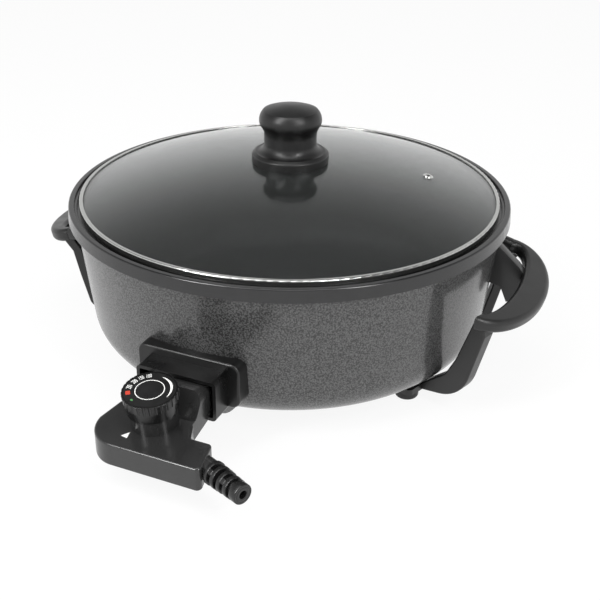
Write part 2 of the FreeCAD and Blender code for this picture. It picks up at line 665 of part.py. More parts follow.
def screw(name, shank, bite, placement):
    """A pan-head screw: its thread along +Z from the seat of the head."""
    head = f"{shank} * screw_head_ratio"
    corners = [
        ("0", "-screw_head_height"),
        (head, "-screw_head_height"),
        (head, "0"),
        (shank, "0"),
        (shank, f"{bite} - {shank} / 2"),
        (f"{shank} / 2", bite),
        ("0", bite),
    ]
    return turned_body(name, corners, rounds={1: "screw_head_height / 2"}, placement=placement)


# Pan, rim and element


def element_path():
    """Centre line of the element: a ring under the base whose ends follow the pan's corner up."""
    bend, ring, level = value("element_bend"), value("element_radius"), value("ring_height")
    side = value("terminal_offset")
    centre = Vector(side + bend, -math.sqrt((ring + bend) ** 2 - (side + bend) ** 2), level)
    on_ring = Vector(centre.x, centre.y, 0) * (ring / (ring + bend)) + Vector(0, 0, level)
    toward = (Vector(side, centre.y, level) - centre).normalize()
    middle = centre + (toward + (on_ring - centre).normalize()).normalize() * bend
    run, end_bend = value("element_run"), value("element_end_bend")
    corner = Vector(side, -value("corner_reach"), value("corner_height"))
    lean = math.asin((corner.z + end_bend - value("terminal_height")) / (run + end_bend))

    def about(point_at, radius, angle):
        return point_at + Vector(0, -math.cos(angle), -math.sin(angle)) * radius

    low = about(corner, run, math.pi / 2)
    high = about(corner, run, lean)
    out_centre = about(corner, run + end_bend, lean)
    out = out_centre + Vector(0, 0, end_bend)
    turn = (lean + math.pi / 2) / 2
    half_out = out_centre + Vector(0, math.sin(turn), math.cos(turn)) * end_bend
    tip = Vector(side, -value("sheath_end"), out.z)
    edges = [
        Part.LineSegment(tip, out),
        Part.Arc(out, half_out, high),
        Part.Arc(high, about(corner, run, (lean + math.pi / 2) / 2), low),
        Part.LineSegment(low, Vector(side, centre.y, level)),
        Part.Arc(Vector(side, centre.y, level), middle, on_ring),
    ]

    def mirrored(spot):
        return Vector(-spot.x, spot.y, spot.z)

    half = [edge.toShape() for edge in edges]
    ring_arc = Part.Arc(on_ring, Vector(0, ring, level), mirrored(on_ring)).toShape()
    other = [edge.mirror(Vector(), ALONG_X) for edge in half]
    return Part.Wire(Part.__sortEdges__(half + [ring_arc] + other))


def sheath(name, radius):
    """A bar of a given radius along the element's centre line."""
    path = doc.addObject("Part::Feature", f"{name}_path")
    path.Shape = element_path()
    section = tie(doc.addObject("Part::Circle", f"{name}_section"), Radius=radius)
    section.Placement = frontwards("terminal_offset", "sheath_end", "terminal_height")
    made = doc.addObject("Part::Sweep", name)
    made.Sections = [section]
    made.Spine = (path, [f"Edge{number}" for number in range(1, len(path.Shape.Edges) + 1)])
    made.Solid = True
    made.Frenet = False
    return made


def pan():
    """Cast pan: base and wall in one, a ridge for the element and a boss for its ends."""
    body = new_body("pan_casting")
    outer = [
        ("0", "base_height"),
        ("wall_base_radius", "base_height"),
        ("wall_top_radius", "wall_top_height"),
        ("0", "wall_top_height"),
    ]
    revolve(body, outline(new_sketch(body, "XZ_Plane"), outer, rounds={1: "corner_radius"}))
    half, ridge_top = "ridge_width / 2", "base_height + root_overlap"
    ridge = [
        (f"element_radius - {half}", ridge_top),
        (f"element_radius - {half}", "ridge_bottom"),
        (f"element_radius + {half}", "ridge_bottom"),
        (f"element_radius + {half}", ridge_top),
    ]
    revolve(body, outline(new_sketch(body, "XZ_Plane"), ridge, rounds={1: "ridge_round", 2: "ridge_round"}))
    rib = [
        ("-element_radius", ridge_top),
        ("-element_radius", "ridge_bottom"),
        ("-corner_reach", "ridge_bottom"),
        ("-(corner_reach + corner_radius + ridge_depth)", "corner_height"),
        ("-corner_reach", "corner_height"),
        ("-corner_reach", ridge_top),
    ]
    curve = {2: "-(corner_radius + ridge_depth)"}
    pad(body, outline(new_sketch(body, "YZ_Plane"), rib, arcs=curve), "2 * rib_half_width", both_ways=True)
    boss = [
        ("-boss_half_width", "guard_bottom"),
        ("boss_half_width", "guard_bottom"),
        ("boss_half_width", "boss_top"),
        ("-boss_half_width", "boss_top"),
    ]
    corners = {2: "boss_corner", 3: "boss_corner"}
    front = outline(new_sketch(body, "XZ_Plane", "boss_reach"), boss, rounds=corners)
    pad(body, front, "boss_reach - cavity_base_radius", backwards=True)
    cavity = [
        ("0", "pan_floor"),
        ("cavity_base_radius", "pan_floor"),
        ("cavity_top_radius", "wall_top_height"),
        ("0", "wall_top_height"),
    ]
    groove(body, outline(new_sketch(body, "XZ_Plane"), cavity, rounds={1: "corner_radius - pan_wall"}))
    sleeve = add_circle(new_sketch(body, "XZ_Plane", "boss_reach"), "0", "probe_height", "sleeve_radius")
    pocket(body, sleeve, "sleeve_bite")
    earth = new_sketch(body, "XZ_Plane", "boss_reach")
    pocket(body, add_circle(earth, "0", "earth_height", "terminal_pin_radius"), "earth_bite")
    screws = new_sketch(body, "XZ_Plane", "boss_reach")
    for side in ("-", ""):
        add_circle(screws, f"{side}guard_screw_spacing / 2", "guard_screw_height", "guard_screw_radius")
    pocket(body, screws, "guard_screw_bite")
    arms = new_sketch(body, "XY_Plane", "base_height")
    for angle in arm_angles().values():
        x, y = f"handle_screw_place * cos({angle})", f"handle_screw_place * sin({angle})"
        add_circle(arms, x, y, "handle_screw_radius")
    pocket(body, arms, "handle_screw_bite", backwards=True)
    return cut("pan_body", body, sheath("element_groove", "element_tube + element_gap"))


def rim_ring():
    """Stepped rim that sits on the wall's top edge and carries the lid's seat."""
    corners = [
        ("rim_seat_radius", "wall_top_height"),
        ("wall_top_radius + rim_wall_gap", "wall_top_height"),
        ("wall_top_radius + rim_wall_gap", "rim_top_height - rim_wall"),
        ("rim_radius - rim_wall", "rim_top_height - rim_wall"),
        ("rim_radius - rim_wall + rim_draft", "rim_skirt_height"),
        ("rim_radius", "rim_skirt_height"),
        ("rim_top_radius", "rim_top_height"),
        ("rim_shoulder_radius", "rim_top_height"),
        ("rim_shoulder_radius - rim_shoulder_round", "rim_step_height"),
        ("rim_inner_radius", "rim_step_height"),
        ("rim_inner_radius - rim_draft", "seat_height"),
        ("rim_seat_radius", "seat_height"),
    ]
    rounds = {6: "rim_round", 7: "rim_shoulder_round", 9: "rim_step_round"}
    return turned_body("rim", corners, rounds)


def terminal_pins():
    """Two pins that carry the supply to the element."""
    radius, length = "terminal_pin_radius", "terminal_pin_length"
    corners = [
        ("0", "0"),
        (radius, "0"),
        (radius, f"{length} - pin_point"),
        (f"{radius} - pin_point_taper", length),
        ("0", length),
    ]
    places = [frontwards(f"{side}terminal_offset", "sheath_end", "terminal_height") for side in ("-", "")]
    return group("pins", [turned_body("pin", corners, placement=place) for place in places])


def terminal_insulators():
    """Beads that close the sheath round each pin."""
    corners = [
        ("terminal_pin_radius", "0"),
        ("bead_radius", "0"),
        ("bead_radius - bead_taper", "bead_length"),
        ("terminal_pin_radius", "bead_length"),
    ]
    places = [frontwards(f"{side}terminal_offset", "sheath_end", "terminal_height") for side in ("-", "")]
    return group("beads", [turned_body("bead", corners, placement=place) for place in places])


def earth_pin():
    """Earth pin, pressed into the boss up to its collar."""
    radius = "terminal_pin_radius"
    length = "sheath_end + terminal_pin_length - boss_reach"
    corners = [
        ("0", "-earth_bite"),
        (radius, "-earth_bite"),
        (radius, "0"),
        ("earth_collar_radius", "0"),
        ("earth_collar_radius", "earth_collar"),
        (radius, "earth_collar"),
        (radius, f"{length} - pin_point"),
        (f"{radius} - pin_point_taper", length),
        ("0", length),
    ]
    return turned_body("earth", corners, placement=frontwards("0", "boss_reach", "earth_height"))


def probe_socket():
    """Sleeve in the boss that takes the thermostat's probe."""
    bore = "probe_radius + plug_clearance"
    corners = [
        (bore, "-sleeve_bite"),
        ("sleeve_radius", "-sleeve_bite"),
        ("sleeve_radius", "sleeve_stand"),
        (f"{bore} + sleeve_mouth", "sleeve_stand"),
        (bore, "sleeve_stand - sleeve_mouth"),
    ]
    return turned_body("sleeve", corners, placement=frontwards("0", "boss_reach", "probe_height"))


def rectangle(half_width, bottom, top):
    """Corners of an upright rectangle about the middle."""
    left = f"-({half_width})"
    return [(left, bottom), (half_width, bottom), (half_width, top), (left, top)]


def socket_guard():
    """Guard on the wall round the terminals, with an open shroud for the thermostat's neck."""
    body = new_body("guard_moulding")
    edge = {number: "guard_corner" for number in range(4)}
    flange = rectangle("guard_half_width", "guard_bottom", "guard_top")
    plate = outline(new_sketch(body, "XZ_Plane", "guard_reach"), flange, rounds=edge)
    base = pad(body, plate, "guard_depth", backwards=True)
    front = value("-guard_reach")
    rounded(body, base, "guard_round", lambda edge: abs(edge.CenterOfMass.y - front) < 0.01)
    edge = {number: "shroud_corner" for number in range(4)}
    walls = rectangle("shroud_half_width", "shroud_bottom", "shroud_top")
    length = "shroud_reach - guard_reach"
    outside = outline(new_sketch(body, "XZ_Plane", "guard_reach - guard_web"), walls, rounds=edge)
    pad(body, outside, f"{length} + guard_web")
    edge = {number: "shroud_inner_corner" for number in range(4)}
    inside = rectangle(
        "shroud_half_width - shroud_wall", "shroud_bottom + shroud_wall", "shroud_top - shroud_wall"
    )
    pocket(body, outline(new_sketch(body, "XZ_Plane", "shroud_reach"), inside, rounds=edge), length)
    back = rectangle("boss_half_width + guard_gap", f"guard_bottom - {SPARE}", "boss_top + guard_gap")
    behind = outline(new_sketch(body, "XZ_Plane", "guard_reach - guard_web"), back)
    pocket(body, behind, "guard_depth")
    holes = new_sketch(body, "XZ_Plane", "guard_reach")
    for side in ("-", ""):
        add_circle(holes, f"{side}terminal_offset", "terminal_height", "bead_radius + guard_hole_gap")
        screw_hole = "guard_screw_radius + guard_screw_gap"
        add_circle(holes, f"{side}guard_screw_spacing / 2", "guard_screw_height", screw_hole)
    pocket(body, holes, "guard_web")
    middle = new_sketch(body, "XZ_Plane", "guard_reach")
    add_circle(middle, "0", "probe_height", "sleeve_radius + web_gap")
    pocket(body, middle, "guard_web")
    above = new_sketch(body, "XZ_Plane", "guard_reach")
    add_circle(above, "0", "earth_height", "earth_collar_radius + web_gap")
    pocket(body, above, "guard_web")
    wall = doc.addObject("Part::Cone", "guard_wall")
    low, high = f"guard_bottom - {SPARE}", f"guard_top + {SPARE}"
    tie(wall, Height=f"({high}) - ({low})")
    for name, height in (("Radius1", low), ("Radius2", high)):
        radius = f"wall_base_radius + wall_slope * (({height}) - base_height) + guard_gap"
        tie(wall, **{name: radius})
    wall.Placement = Placement(point("0", "0", low), Rotation())
    return cut("guard", body, wall)


def guard_screws():
    """Two screws that hold the guard to the boss."""
    places = [
        Placement(point(f"{side}guard_screw_spacing / 2", "-guard_reach", "guard_screw_height"), TO_BACK)
        for side in ("-", "")
    ]
    bite = "guard_screw_bite + guard_reach - boss_reach - thread_gap"
    return group("guard_screw_pair", [screw("guard_screw", "guard_screw_radius", bite, p) for p in places])


# Handles, legs and feet


def loop(turn):
    """D-shaped loop of a handle, its plane falling outwards."""
    spin = Rotation(ALONG_Z, turn)
    centre = spin.multVec(point("handle_centre", "0", "handle_height"))
    lean = turned(ALONG_Y, "handle_lean")
    prisms = []
    for name, reach, half in (
        ("loop_outer", "handle_reach / cos(handle_lean)", "handle_half_width"),
        ("loop_inner", "grip_reach / cos(handle_lean)", "grip_half_width"),
    ):
        ellipse = doc.addObject("Part::Ellipse", f"{name}_edge")
        tie(ellipse, MajorRadius=half, MinorRadius=reach)
        ellipse.Placement = Placement(Vector(), Rotation(ALONG_Z, 90))
        prism = doc.addObject("Part::Extrusion", name)
        prism.Base = ellipse
        prism.DirMode = "Normal"
        prism.Solid = True
        prism.Symmetric = True
        prisms.append(tie(prism, LengthFwd="handle_thickness"))
    room = "2 * handle_half_width"
    gap = "(strut_end_depth + handle_stand) / cos(handle_lean)"
    corner = point(f"-{gap} - {room}", f"-handle_half_width - {SPARE}", "-handle_half_width")
    back = box("loop_back", room, f"{room} + 2 * {SPARE}", room, Placement(corner, Rotation()))
    ring = cut("loop_ring", prisms[0], prisms[1], back)
    doc.recompute()
    half = value("handle_thickness") / 2
    edges = [
        number
        for number, edge in enumerate(ring.Shape.Edges, start=1)
        if edge.Length > 60 and abs(abs(edge.CenterOfMass.z) - half) < 0.01
    ]
    made = doc.addObject("Part::Fillet", "loop")
    made.Base = ring
    made.Edges = [(number, value("handle_round"), value("handle_round")) for number in edges]
    made.Placement = Placement(centre, spin * lean)
    along = Placement(Vector(), turned(ALONG_Z, f"{turn} - leg_angle"))
    inwards, sideways, to_middle, height = "60", "30", "15", "100"
    corner = point(
        f"wall_top_radius + leg_end_stand - {inwards}", f"-{sideways}", f"handle_height - {height} / 2"
    )
    place = along * Placement(corner, Rotation())
    return cut("loop_end", made, box("leg_end", inwards, f"{sideways} + {to_middle}", height, place))


def arm_body(name, corners, rounds, angle, foot_turn):
    """An arm that is an outline in the radial plane, with a pad for its screw and its foot."""
    body = new_body(name, Placement(Vector(), turned(ALONG_Z, angle)))
    base = pad(body, outline(new_sketch(body, "XZ_Plane"), corners, rounds), "leg_width", both_ways=True)
    doc.recompute()
    half = value("leg_width") / 2
    outer = value("foot_place") + value("foot_radius")
    rounded(
        body,
        base,
        "leg_round",
        lambda edge: abs(abs(edge.CenterOfMass.y) - half) < 0.01 and edge.CenterOfMass.x > outer,
    )
    foot_x, foot_y = f"foot_place * cos({foot_turn})", f"foot_place * sin({foot_turn})"
    reach = "(foot_radius + foot_margin)"
    low, high = "-leg_width / 2", "leg_width / 2"
    if value(foot_turn) > 0:
        high = f"{foot_y} + {reach}"
    else:
        low = f"{foot_y} - {reach}"
    under = [
        ("pad_inner_radius", low),
        (f"{foot_x} + {reach}", low),
        (f"{foot_x} + {reach}", high),
        ("pad_inner_radius", high),
    ]
    edge = {number: "leg_width / 3" for number in range(4)}
    pad(body, outline(new_sketch(body, "XY_Plane", "arm_underside"), under, rounds=edge), "pad_thickness")
    hole = new_sketch(body, "XY_Plane", "arm_underside")
    add_circle(hole, "handle_screw_place", "0", "handle_screw_radius")
    pocket(body, hole, "pad_thickness", backwards=True)
    socket = new_sketch(body, "XY_Plane", "arm_underside")
    add_circle(socket, foot_x, foot_y, "foot_spigot_radius")
    pocket(body, socket, "foot_spigot_length", backwards=True)
    return body


def handle(side):
    """One handle: loop, bent leg at one end and strut close to the wall at the other."""
    turn = HANDLE_TURNS[side]
    leg = [
        ("pad_inner_radius", "arm_underside"),
        ("wall_base_radius - 20.6", "arm_underside"),
        ("wall_base_radius + 26.7", "arm_underside + 9.3"),
        ("wall_base_radius + 45.4", "handle_height - 14"),
        ("wall_base_radius + 43.4", "handle_height - 4"),
        ("wall_base_radius + 33.4", "handle_height - 2"),
        ("wall_base_radius + 18.4", "arm_underside + 48"),
        ("wall_base_radius + 8.4", "arm_underside + 28"),
        ("wall_base_radius - 18.6", "base_height"),
        ("pad_inner_radius", "base_height"),
    ]
    strut = [
        ("pad_inner_radius", "arm_underside"),
        ("wall_base_radius - 14.6", "arm_underside"),
        ("wall_base_radius - 0.6", "arm_underside + 5"),
        ("wall_base_radius + 13.4", "arm_underside + 20"),
        ("wall_base_radius + 20.9", "arm_underside + 51"),
        ("wall_base_radius + 26.4", "handle_height - 16"),
        ("wall_base_radius + 34.4", "handle_height - 4"),
        ("wall_base_radius + 25.4", "handle_height - 1"),
        ("wall_base_radius + 17.4", "handle_height - 14"),
        ("wall_base_radius + 11.4", "arm_underside + 51"),
        ("wall_base_radius + 4.4", "arm_underside + 24"),
        ("wall_base_radius - 18.6", "base_height"),
        ("pad_inner_radius", "base_height"),
    ]
    angles = arm_angles()
    bent = arm_body(f"{side}_leg", leg, {2: "38", 7: "14"}, angles[side, "leg"], "leg_angle - foot_angle")
    close = arm_body(f"{side}_strut", strut, {3: "10"}, angles[side, "strut"], "foot_angle - strut_angle")
    return fuse(f"{side}_handle_body", loop(turn), bent, close)


def handle_screws():
    """Four screws that hold the arms to the base."""
    bite = "pad_thickness + handle_screw_bite - handle_thread_gap"
    places = [around("handle_screw_place", angle, "arm_underside") for angle in arm_angles().values()]
    return group("arm_screws", [screw("arm_screw", "handle_screw_radius", bite, place) for place in places])


def foot(name, angle):
    """Foot peg under an arm, with a spigot in it."""
    corners = [
        ("0", "0"),
        ("foot_radius", "0"),
        ("foot_radius", "arm_underside"),
        ("foot_spigot_radius", "arm_underside"),
        ("foot_spigot_radius", "arm_underside + foot_spigot_length - foot_spigot_gap"),
        ("0", "arm_underside + foot_spigot_length - foot_spigot_gap"),
    ]
    return turned_body(name, corners, rounds={1: "foot_round"}, placement=around("foot_place", angle, "0"))


# Lid


def vent_placement():
    """Frame of the vent: its origin on the dome, its Z axis square to the glass."""
    spin = turned(ALONG_Z, "vent_angle")
    lean = turned(ALONG_Y, "asin(vent_radius / dome_radius)")
    centre = spin.multVec(point("vent_radius", "0", dome("vent_radius")))
    return Placement(centre, spin * lean)


def lid_glass():
    """Domed glass with a hole for the knob's screw and one for the vent."""
    body = new_body("glass_dome")
    hole = "knob_screw_radius + glass_hole_gap"
    corners = [
        (hole, dome(hole, "glass_thickness")),
        ("glass_radius", dome("glass_radius", "glass_thickness")),
        ("glass_radius", dome("glass_radius")),
        (hole, dome(hole)),
    ]
    arcs = {0: "-(dome_radius - glass_thickness)", 2: "dome_radius"}
    revolve(body, outline(new_sketch(body, "XZ_Plane"), corners, arcs=arcs))
    drill = cylinder("vent_drill", "vent_bore_radius + vent_sheet + lid_fit", "3 * glass_thickness")
    drill.Placement = vent_placement() * Placement(point("0", "0", "-2 * glass_thickness"), Rotation())
    return cut("glass", body, drill)


def lid_band():
    """Rolled steel band round the glass, whose lower edge sits on the rim."""
    lip = "band_lip_radius"
    inner = "lid_radius - band_thickness"
    over = dome(lip)
    under = dome("glass_radius", "glass_thickness")
    corners = [
        ("lid_radius", "band_bottom"),
        ("lid_radius", f"{over} + band_rise"),
        (lip, f"{over} + band_rise"),
        (lip, f"{over} + lid_fit"),
        (inner, f"{over} + lid_fit"),
        (inner, f"{under} - lid_fit"),
        (lip, f"{under} - lid_fit"),
        (lip, f"{under} - lid_fit - band_thickness"),
        (inner, f"{under} - lid_fit - band_thickness"),
        (inner, "band_bottom"),
    ]
    return turned_body("band", corners, rounds={1: "band_round", 2: "band_lip_round"})


def vent_grommet():
    """Steel eyelet that lets the steam out."""
    tube = "vent_bore_radius + vent_sheet"
    corners = [
        ("vent_bore_radius", "-glass_thickness - vent_sheet - lid_fit"),
        (f"{tube} + eyelet_lap", "-glass_thickness - vent_sheet - lid_fit"),
        (f"{tube} + eyelet_lap", "-glass_thickness - lid_fit"),
        (tube, "-glass_thickness - lid_fit"),
        (tube, "lid_fit"),
        ("vent_flange_radius", "lid_fit"),
        ("vent_flange_radius - eyelet_taper", "vent_sheet + lid_fit"),
        ("vent_bore_radius", "vent_sheet + lid_fit"),
    ]
    return turned_body("eyelet", corners, placement=vent_placement())


def lid_knob():
    """Waisted knob whose flange follows the dome."""
    base = f"({dome('knob_flange_radius')} + knob_gap)"
    shaft_top = "washer_top + glass_thickness + knob_screw_length"
    corners = [
        ("knob_screw_radius", f"{dome('knob_screw_radius')} + knob_gap"),
        ("knob_flange_radius", base),
        ("knob_flange_radius", f"{base} + knob_edge_height"),
        ("knob_flange_radius - knob_shoulder_inset", f"{base} + knob_shoulder_height"),
        ("knob_waist_radius", f"{base} + knob_waist_bottom"),
        ("knob_waist_radius", f"{base} + knob_waist_top"),
        ("knob_cap_radius - knob_cap_bottom_inset", f"{base} + knob_cap_bottom"),
        ("knob_cap_radius", f"{base} + knob_cap_middle"),
        ("knob_cap_radius - knob_cap_shoulder_inset", f"{base} + knob_cap_shoulder"),
        ("0", f"{base} + knob_height"),
        ("0", shaft_top),
        ("knob_screw_radius", shaft_top),
    ]
    cap, rise = "(knob_cap_radius - knob_cap_shoulder_inset)", "(knob_height - knob_cap_shoulder)"
    arcs = {
        0: "-(dome_radius + knob_gap)",
        3: "-knob_foot_curve",
        5: "-knob_neck_curve",
        6: "knob_lower_curve",
        7: "knob_upper_curve",
        8: f"({cap} ^ 2 + {rise} ^ 2) / (2 * {rise})",
    }
    return turned_body("knob", corners, rounds={2: "knob_edge_round"}, arcs=arcs)


def knob_washer():
    """Soft washer between the glass and the screw's head."""
    inner = "knob_screw_radius + washer_gap"
    corners = [
        (inner, "washer_bottom"),
        ("washer_radius", "washer_bottom"),
        ("washer_radius", "washer_top - washer_gap"),
        (inner, "washer_top - washer_gap"),
    ]
    return turned_body("washer", corners)


def knob_screw():
    """Screw that holds the knob through the glass."""
    bite = "washer_thickness + glass_thickness + knob_screw_length - thread_gap"
    place = Placement(point("0", "0", "washer_bottom"), Rotation())
    return screw("lid_screw", "knob_screw_radius", bite, place)


# Thermostat


def case_top(reach):
    """Height of the case's sloping top at a distance from the pan's axis."""
    return f"(case_front_top + (case_front - ({reach})) * tan(case_lean))"


def case_floor(reach):
    """Height of the case's sloping underside at a distance from the pan's axis."""
    return f"(case_front_bottom + (case_front - ({reach})) * floor_slope)"


def parting(reach):
    """Height of the joint between the housing's halves."""
    return f"(parting_front + (case_front - ({reach})) * parting_slope)"


def end_face(reach, inset):
    """Sideways place of the case's end face, which turns in towards the back."""
    return f"(case_right - (case_front - ({reach})) * tan(end_angle) - ({inset}) / cos(end_angle))"


def case_block(name, inset="0"):
    """Outer form of the housing, or with an inset the hollow in it."""
    n = inset
    neck = new_body(f"{name}_neck")
    start = f"neck_reach - 2 * {n}"
    front = rectangle(f"neck_half_width - {n}", f"neck_bottom + {n}", f"neck_top - {n}")
    rounds = {2: f"neck_round - {n}", 3: f"neck_round - {n}"}
    length = f"dial_place - neck_reach - neck_stop + {n}"
    pad(neck, outline(new_sketch(neck, "XZ_Plane", start), front, rounds=rounds), length)
    level_end = f"-(neck_reach + neck_top_length - {n} / 2)"
    fall_end = f"(neck_reach + neck_top_length + neck_fall - {n} / 2)"
    above = [
        (level_end, f"neck_top - {n}"),
        (f"-{fall_end}", f"{case_top(fall_end)} - {n}"),
        ("-case_front", f"{case_top(fall_end)} - {n}"),
        ("-case_front", "2 * neck_top"),
        (level_end, "2 * neck_top"),
    ]
    pocket(neck, outline(new_sketch(neck, "YZ_Plane"), above), "4 * neck_half_width", both_ways=True)

    case = new_body(f"{name}_case")
    edge = f"case_front - {n}"
    plan = [
        (f"-(neck_half_width - {n})", f"-(case_step + {n})"),
        (f"-(neck_half_width - {n})", f"-(case_back + {n})"),
        (f"-(case_left_back - {n})", f"-(case_back + case_slant + {n})"),
        (f"-(case_left - {n})", "-(wing_back + case_left_start)"),
        (f"-(case_left - {n})", f"-({edge})"),
        (end_face(edge, n), f"-({edge})"),
        (end_face(f"wing_back + {n}", n), f"-(wing_back + {n})"),
        ("wing_start", f"-(wing_back + {n})"),
        (f"neck_half_width - {n}", f"-(wing_back - wing_root + {n})"),
        (f"neck_half_width - {n}", f"-(case_step + {n})"),
    ]
    rounds = {
        2: f"case_shoulder_round - {n}",
        4: f"case_left_round - {n}",
        5: f"case_right_round - {n}",
        6: f"wing_round - {n}",
        7: f"wing_root_round + {n}",
    }
    block = pad(case, outline(new_sketch(case, "XY_Plane"), plan, rounds=rounds), "neck_top")
    near, far = f"(neck_reach - {SPARE})", f"(case_front + {SPARE})"
    over = [
        (f"-{near}", f"{case_top(near)} - {n}"),
        (f"-{far}", f"{case_top(far)} - {n}"),
        (f"-{far}", "2 * neck_top"),
        (f"-{near}", "2 * neck_top"),
    ]
    top = pocket(case, outline(new_sketch(case, "YZ_Plane"), over), "6 * case_left", both_ways=True)
    under = [
        (f"-{near}", f"{case_floor(near)} + {n}"),
        (f"-{far}", f"{case_floor(far)} + {n}"),
        (f"-{far}", f"-{SPARE}"),
        (f"-{near}", f"-{SPARE}"),
    ]
    under = pocket(case, outline(new_sketch(case, "YZ_Plane"), under), "6 * case_left", both_ways=True)
    if inset == "0":
        rounded(case, under, "case_round", on_case_top)
    return fuse(name, neck, case)


def on_case_top(edge):
    """Whether an edge lies in the case's sloping top, in front of the neck."""
    up = turned(ALONG_X, "case_lean").multVec(ALONG_Z)
    level = up.dot(point("0", "-case_front", "case_front_top"))
    middle = edge.CenterOfMass
    return abs(up.dot(middle) - level) < 0.02 and middle.y < -value("case_back + case_slant") - 1


def dial_frame():
    """Frame of the dial: its origin on the case's top, its Z axis along the spindle."""
    return Placement(point("0", "-dial_place", "case_top_back"), turned(ALONG_X, "case_lean"))


def screw_spots():
    """The housing screws: sideways place and distance from the pan's axis."""
    return [("-33", "(neck_reach + 52)"), ("46", "(neck_reach + 79)"), ("0", "(neck_reach + 21)")]


def screw_seat(reach):
    """Height of a housing screw's seat above the underside of the neck or of the case."""
    bottom = case_floor(reach) if value(reach) > value("case_step") else "neck_bottom"
    return f"({bottom} + case_screw_depth)"


def boot_collar(name):
    """Collar through the end face, square to the boot."""
    place = boot_frame() * Placement(point("0", "0", "-collar_length"), Rotation())
    return cylinder(name, "collar_radius", "collar_length", place)


def case_half(name, upper):
    """One half of the housing, cut at the sloping joint and hollowed out."""
    side = "upper" if upper else "lower"
    tilt = turned(ALONG_X, "atan(parting_slope)")
    across, ahead, behind, height = "400", "200", "100", "100"
    corner = point(f"-{across} / 2", f"-{ahead}", "0" if upper else f"-{height}")
    frame = Placement(point("0", "-neck_reach", "parting_back"), tilt)
    place = frame * Placement(corner, Rotation())
    keep = box(f"{side}_keep", across, f"{ahead} + {behind}", height, place)
    collars = [boot_collar(f"{side}_{place}_collar") for place in ("outer", "inner")]
    half = common(f"{side}_half", fuse(f"{side}_whole", case_block(f"{side}_outer"), collars[0]), keep)
    if upper:
        turret = cylinder("turret", "turret_radius", "turret_height + case_wall")
        turret.Placement = dial_frame() * Placement(point("0", "0", "-case_wall"), Rotation())
        half = fuse("upper_with_turret", half, turret)
    hollow = case_block(f"{side}_inner", "case_wall")
    towers = [collars[1]]
    drills = []
    head = "case_screw_radius * screw_head_ratio + case_head_gap"
    for x, reach in screw_spots():
        place = Placement(point(x, f"-{reach}", "0"), Rotation())
        towers.append(cylinder(f"{side}_tower", "tower_radius", "neck_top", place))
        thread = f"{parting(reach)} + case_screw_bite + thread_gap"
        drills.append(cylinder(f"{side}_drill", "case_screw_radius + case_thread_fit", thread, place))
        drills.append(cylinder(f"{side}_head_room", head, screw_seat(reach), place))
    tools = [cut(f"{side}_hollow", hollow, *towers)]
    if upper:
        depth = "(turret_height - turret_wall)"
        room = cylinder("turret_room", "turret_radius - turret_wall", f"{depth} + {SPARE}")
        room.Placement = dial_frame() * Placement(Vector(0, 0, -SPARE), Rotation())
        bore = "spindle_radius + spindle_fit"
        bearing = cylinder("turret_bearing", bore, f"turret_height + {SPARE}", dial_frame())
        tools += [room, bearing]
    start = point("0", "0", "-collar_length - root_overlap")
    place = boot_frame() * Placement(start, Rotation())
    depth = "collar_length + 2 * root_overlap"
    tools.append(cylinder(f"{side}_boot_hole", "boot_neck_radius + boot_fit", depth, place))
    return cut(name, half, *tools, *drills)


def housing_screws():
    """Three screws that hold the housing's halves together, from below."""
    made = []
    for x, reach in screw_spots():
        bite = f"{parting(reach)} + case_screw_bite - {screw_seat(reach)}"
        place = Placement(point(x, f"-{reach}", screw_seat(reach)), Rotation())
        made.append(screw("case_screw", "case_screw_radius", bite, place))
    return group("case_screws", made)


def contact_block():
    """Block in the neck that holds the sockets and the probe, and closes the neck's front."""
    body = new_body("block")
    n = "(case_wall + inner_gap)"
    front = rectangle(f"neck_half_width - {n}", f"neck_bottom + {n}", f"neck_top - {n}")
    rounds = {2: f"neck_round - {n}", 3: f"neck_round - {n}"}
    reach = "neck_reach + block_depth"
    block = outline(new_sketch(body, "XZ_Plane", reach), front, rounds=rounds)
    pad(body, block, "block_depth", backwards=True)
    holes = new_sketch(body, "XZ_Plane", reach)
    socket = "terminal_pin_radius + plug_clearance + socket_wall"
    add_circle(holes, "-terminal_offset", "terminal_height", socket)
    add_circle(holes, "terminal_offset", "terminal_height", socket)
    add_circle(holes, "0", "earth_height", socket)
    add_circle(holes, "0", "probe_height", "probe_radius")
    pocket(body, holes, "block_depth")
    return body


def socket_tube(name, x, height):
    """Spring socket that slides over a pin."""
    bore = "terminal_pin_radius + plug_clearance"
    corners = [
        (bore, "socket_mouth"),
        (f"{bore} + socket_wall", "0"),
        (f"{bore} + socket_wall", "socket_length"),
        (bore, "socket_length"),
    ]
    return turned_body(name, corners, placement=frontwards(x, "neck_reach + socket_inset", height))


def contact_sockets():
    """The two power sockets."""
    return group(
        "power_sockets",
        [socket_tube("power_socket", f"{side}terminal_offset", "terminal_height") for side in ("-", "")],
    )


def probe_tube():
    """Closed tube that carries the warmth of the pan to the switch."""
    length = "neck_reach + block_depth + probe_tail - probe_tip"
    corners = [("0", "0"), ("probe_radius", "0"), ("probe_radius", length), ("0", length)]
    place = frontwards("0", "probe_tip", "probe_height")
    return turned_body("probe", corners, rounds={1: "probe_tip_round"}, placement=place)


def floor_frame(x, reach):
    """Frame on the inside of the lower half's sloping floor."""
    height = f"{case_floor(reach)} + case_wall * sqrt(1 + floor_slope ^ 2) + inner_gap"
    return Placement(point(x, f"-({reach})", height), turned(ALONG_X, "atan(floor_slope)"))


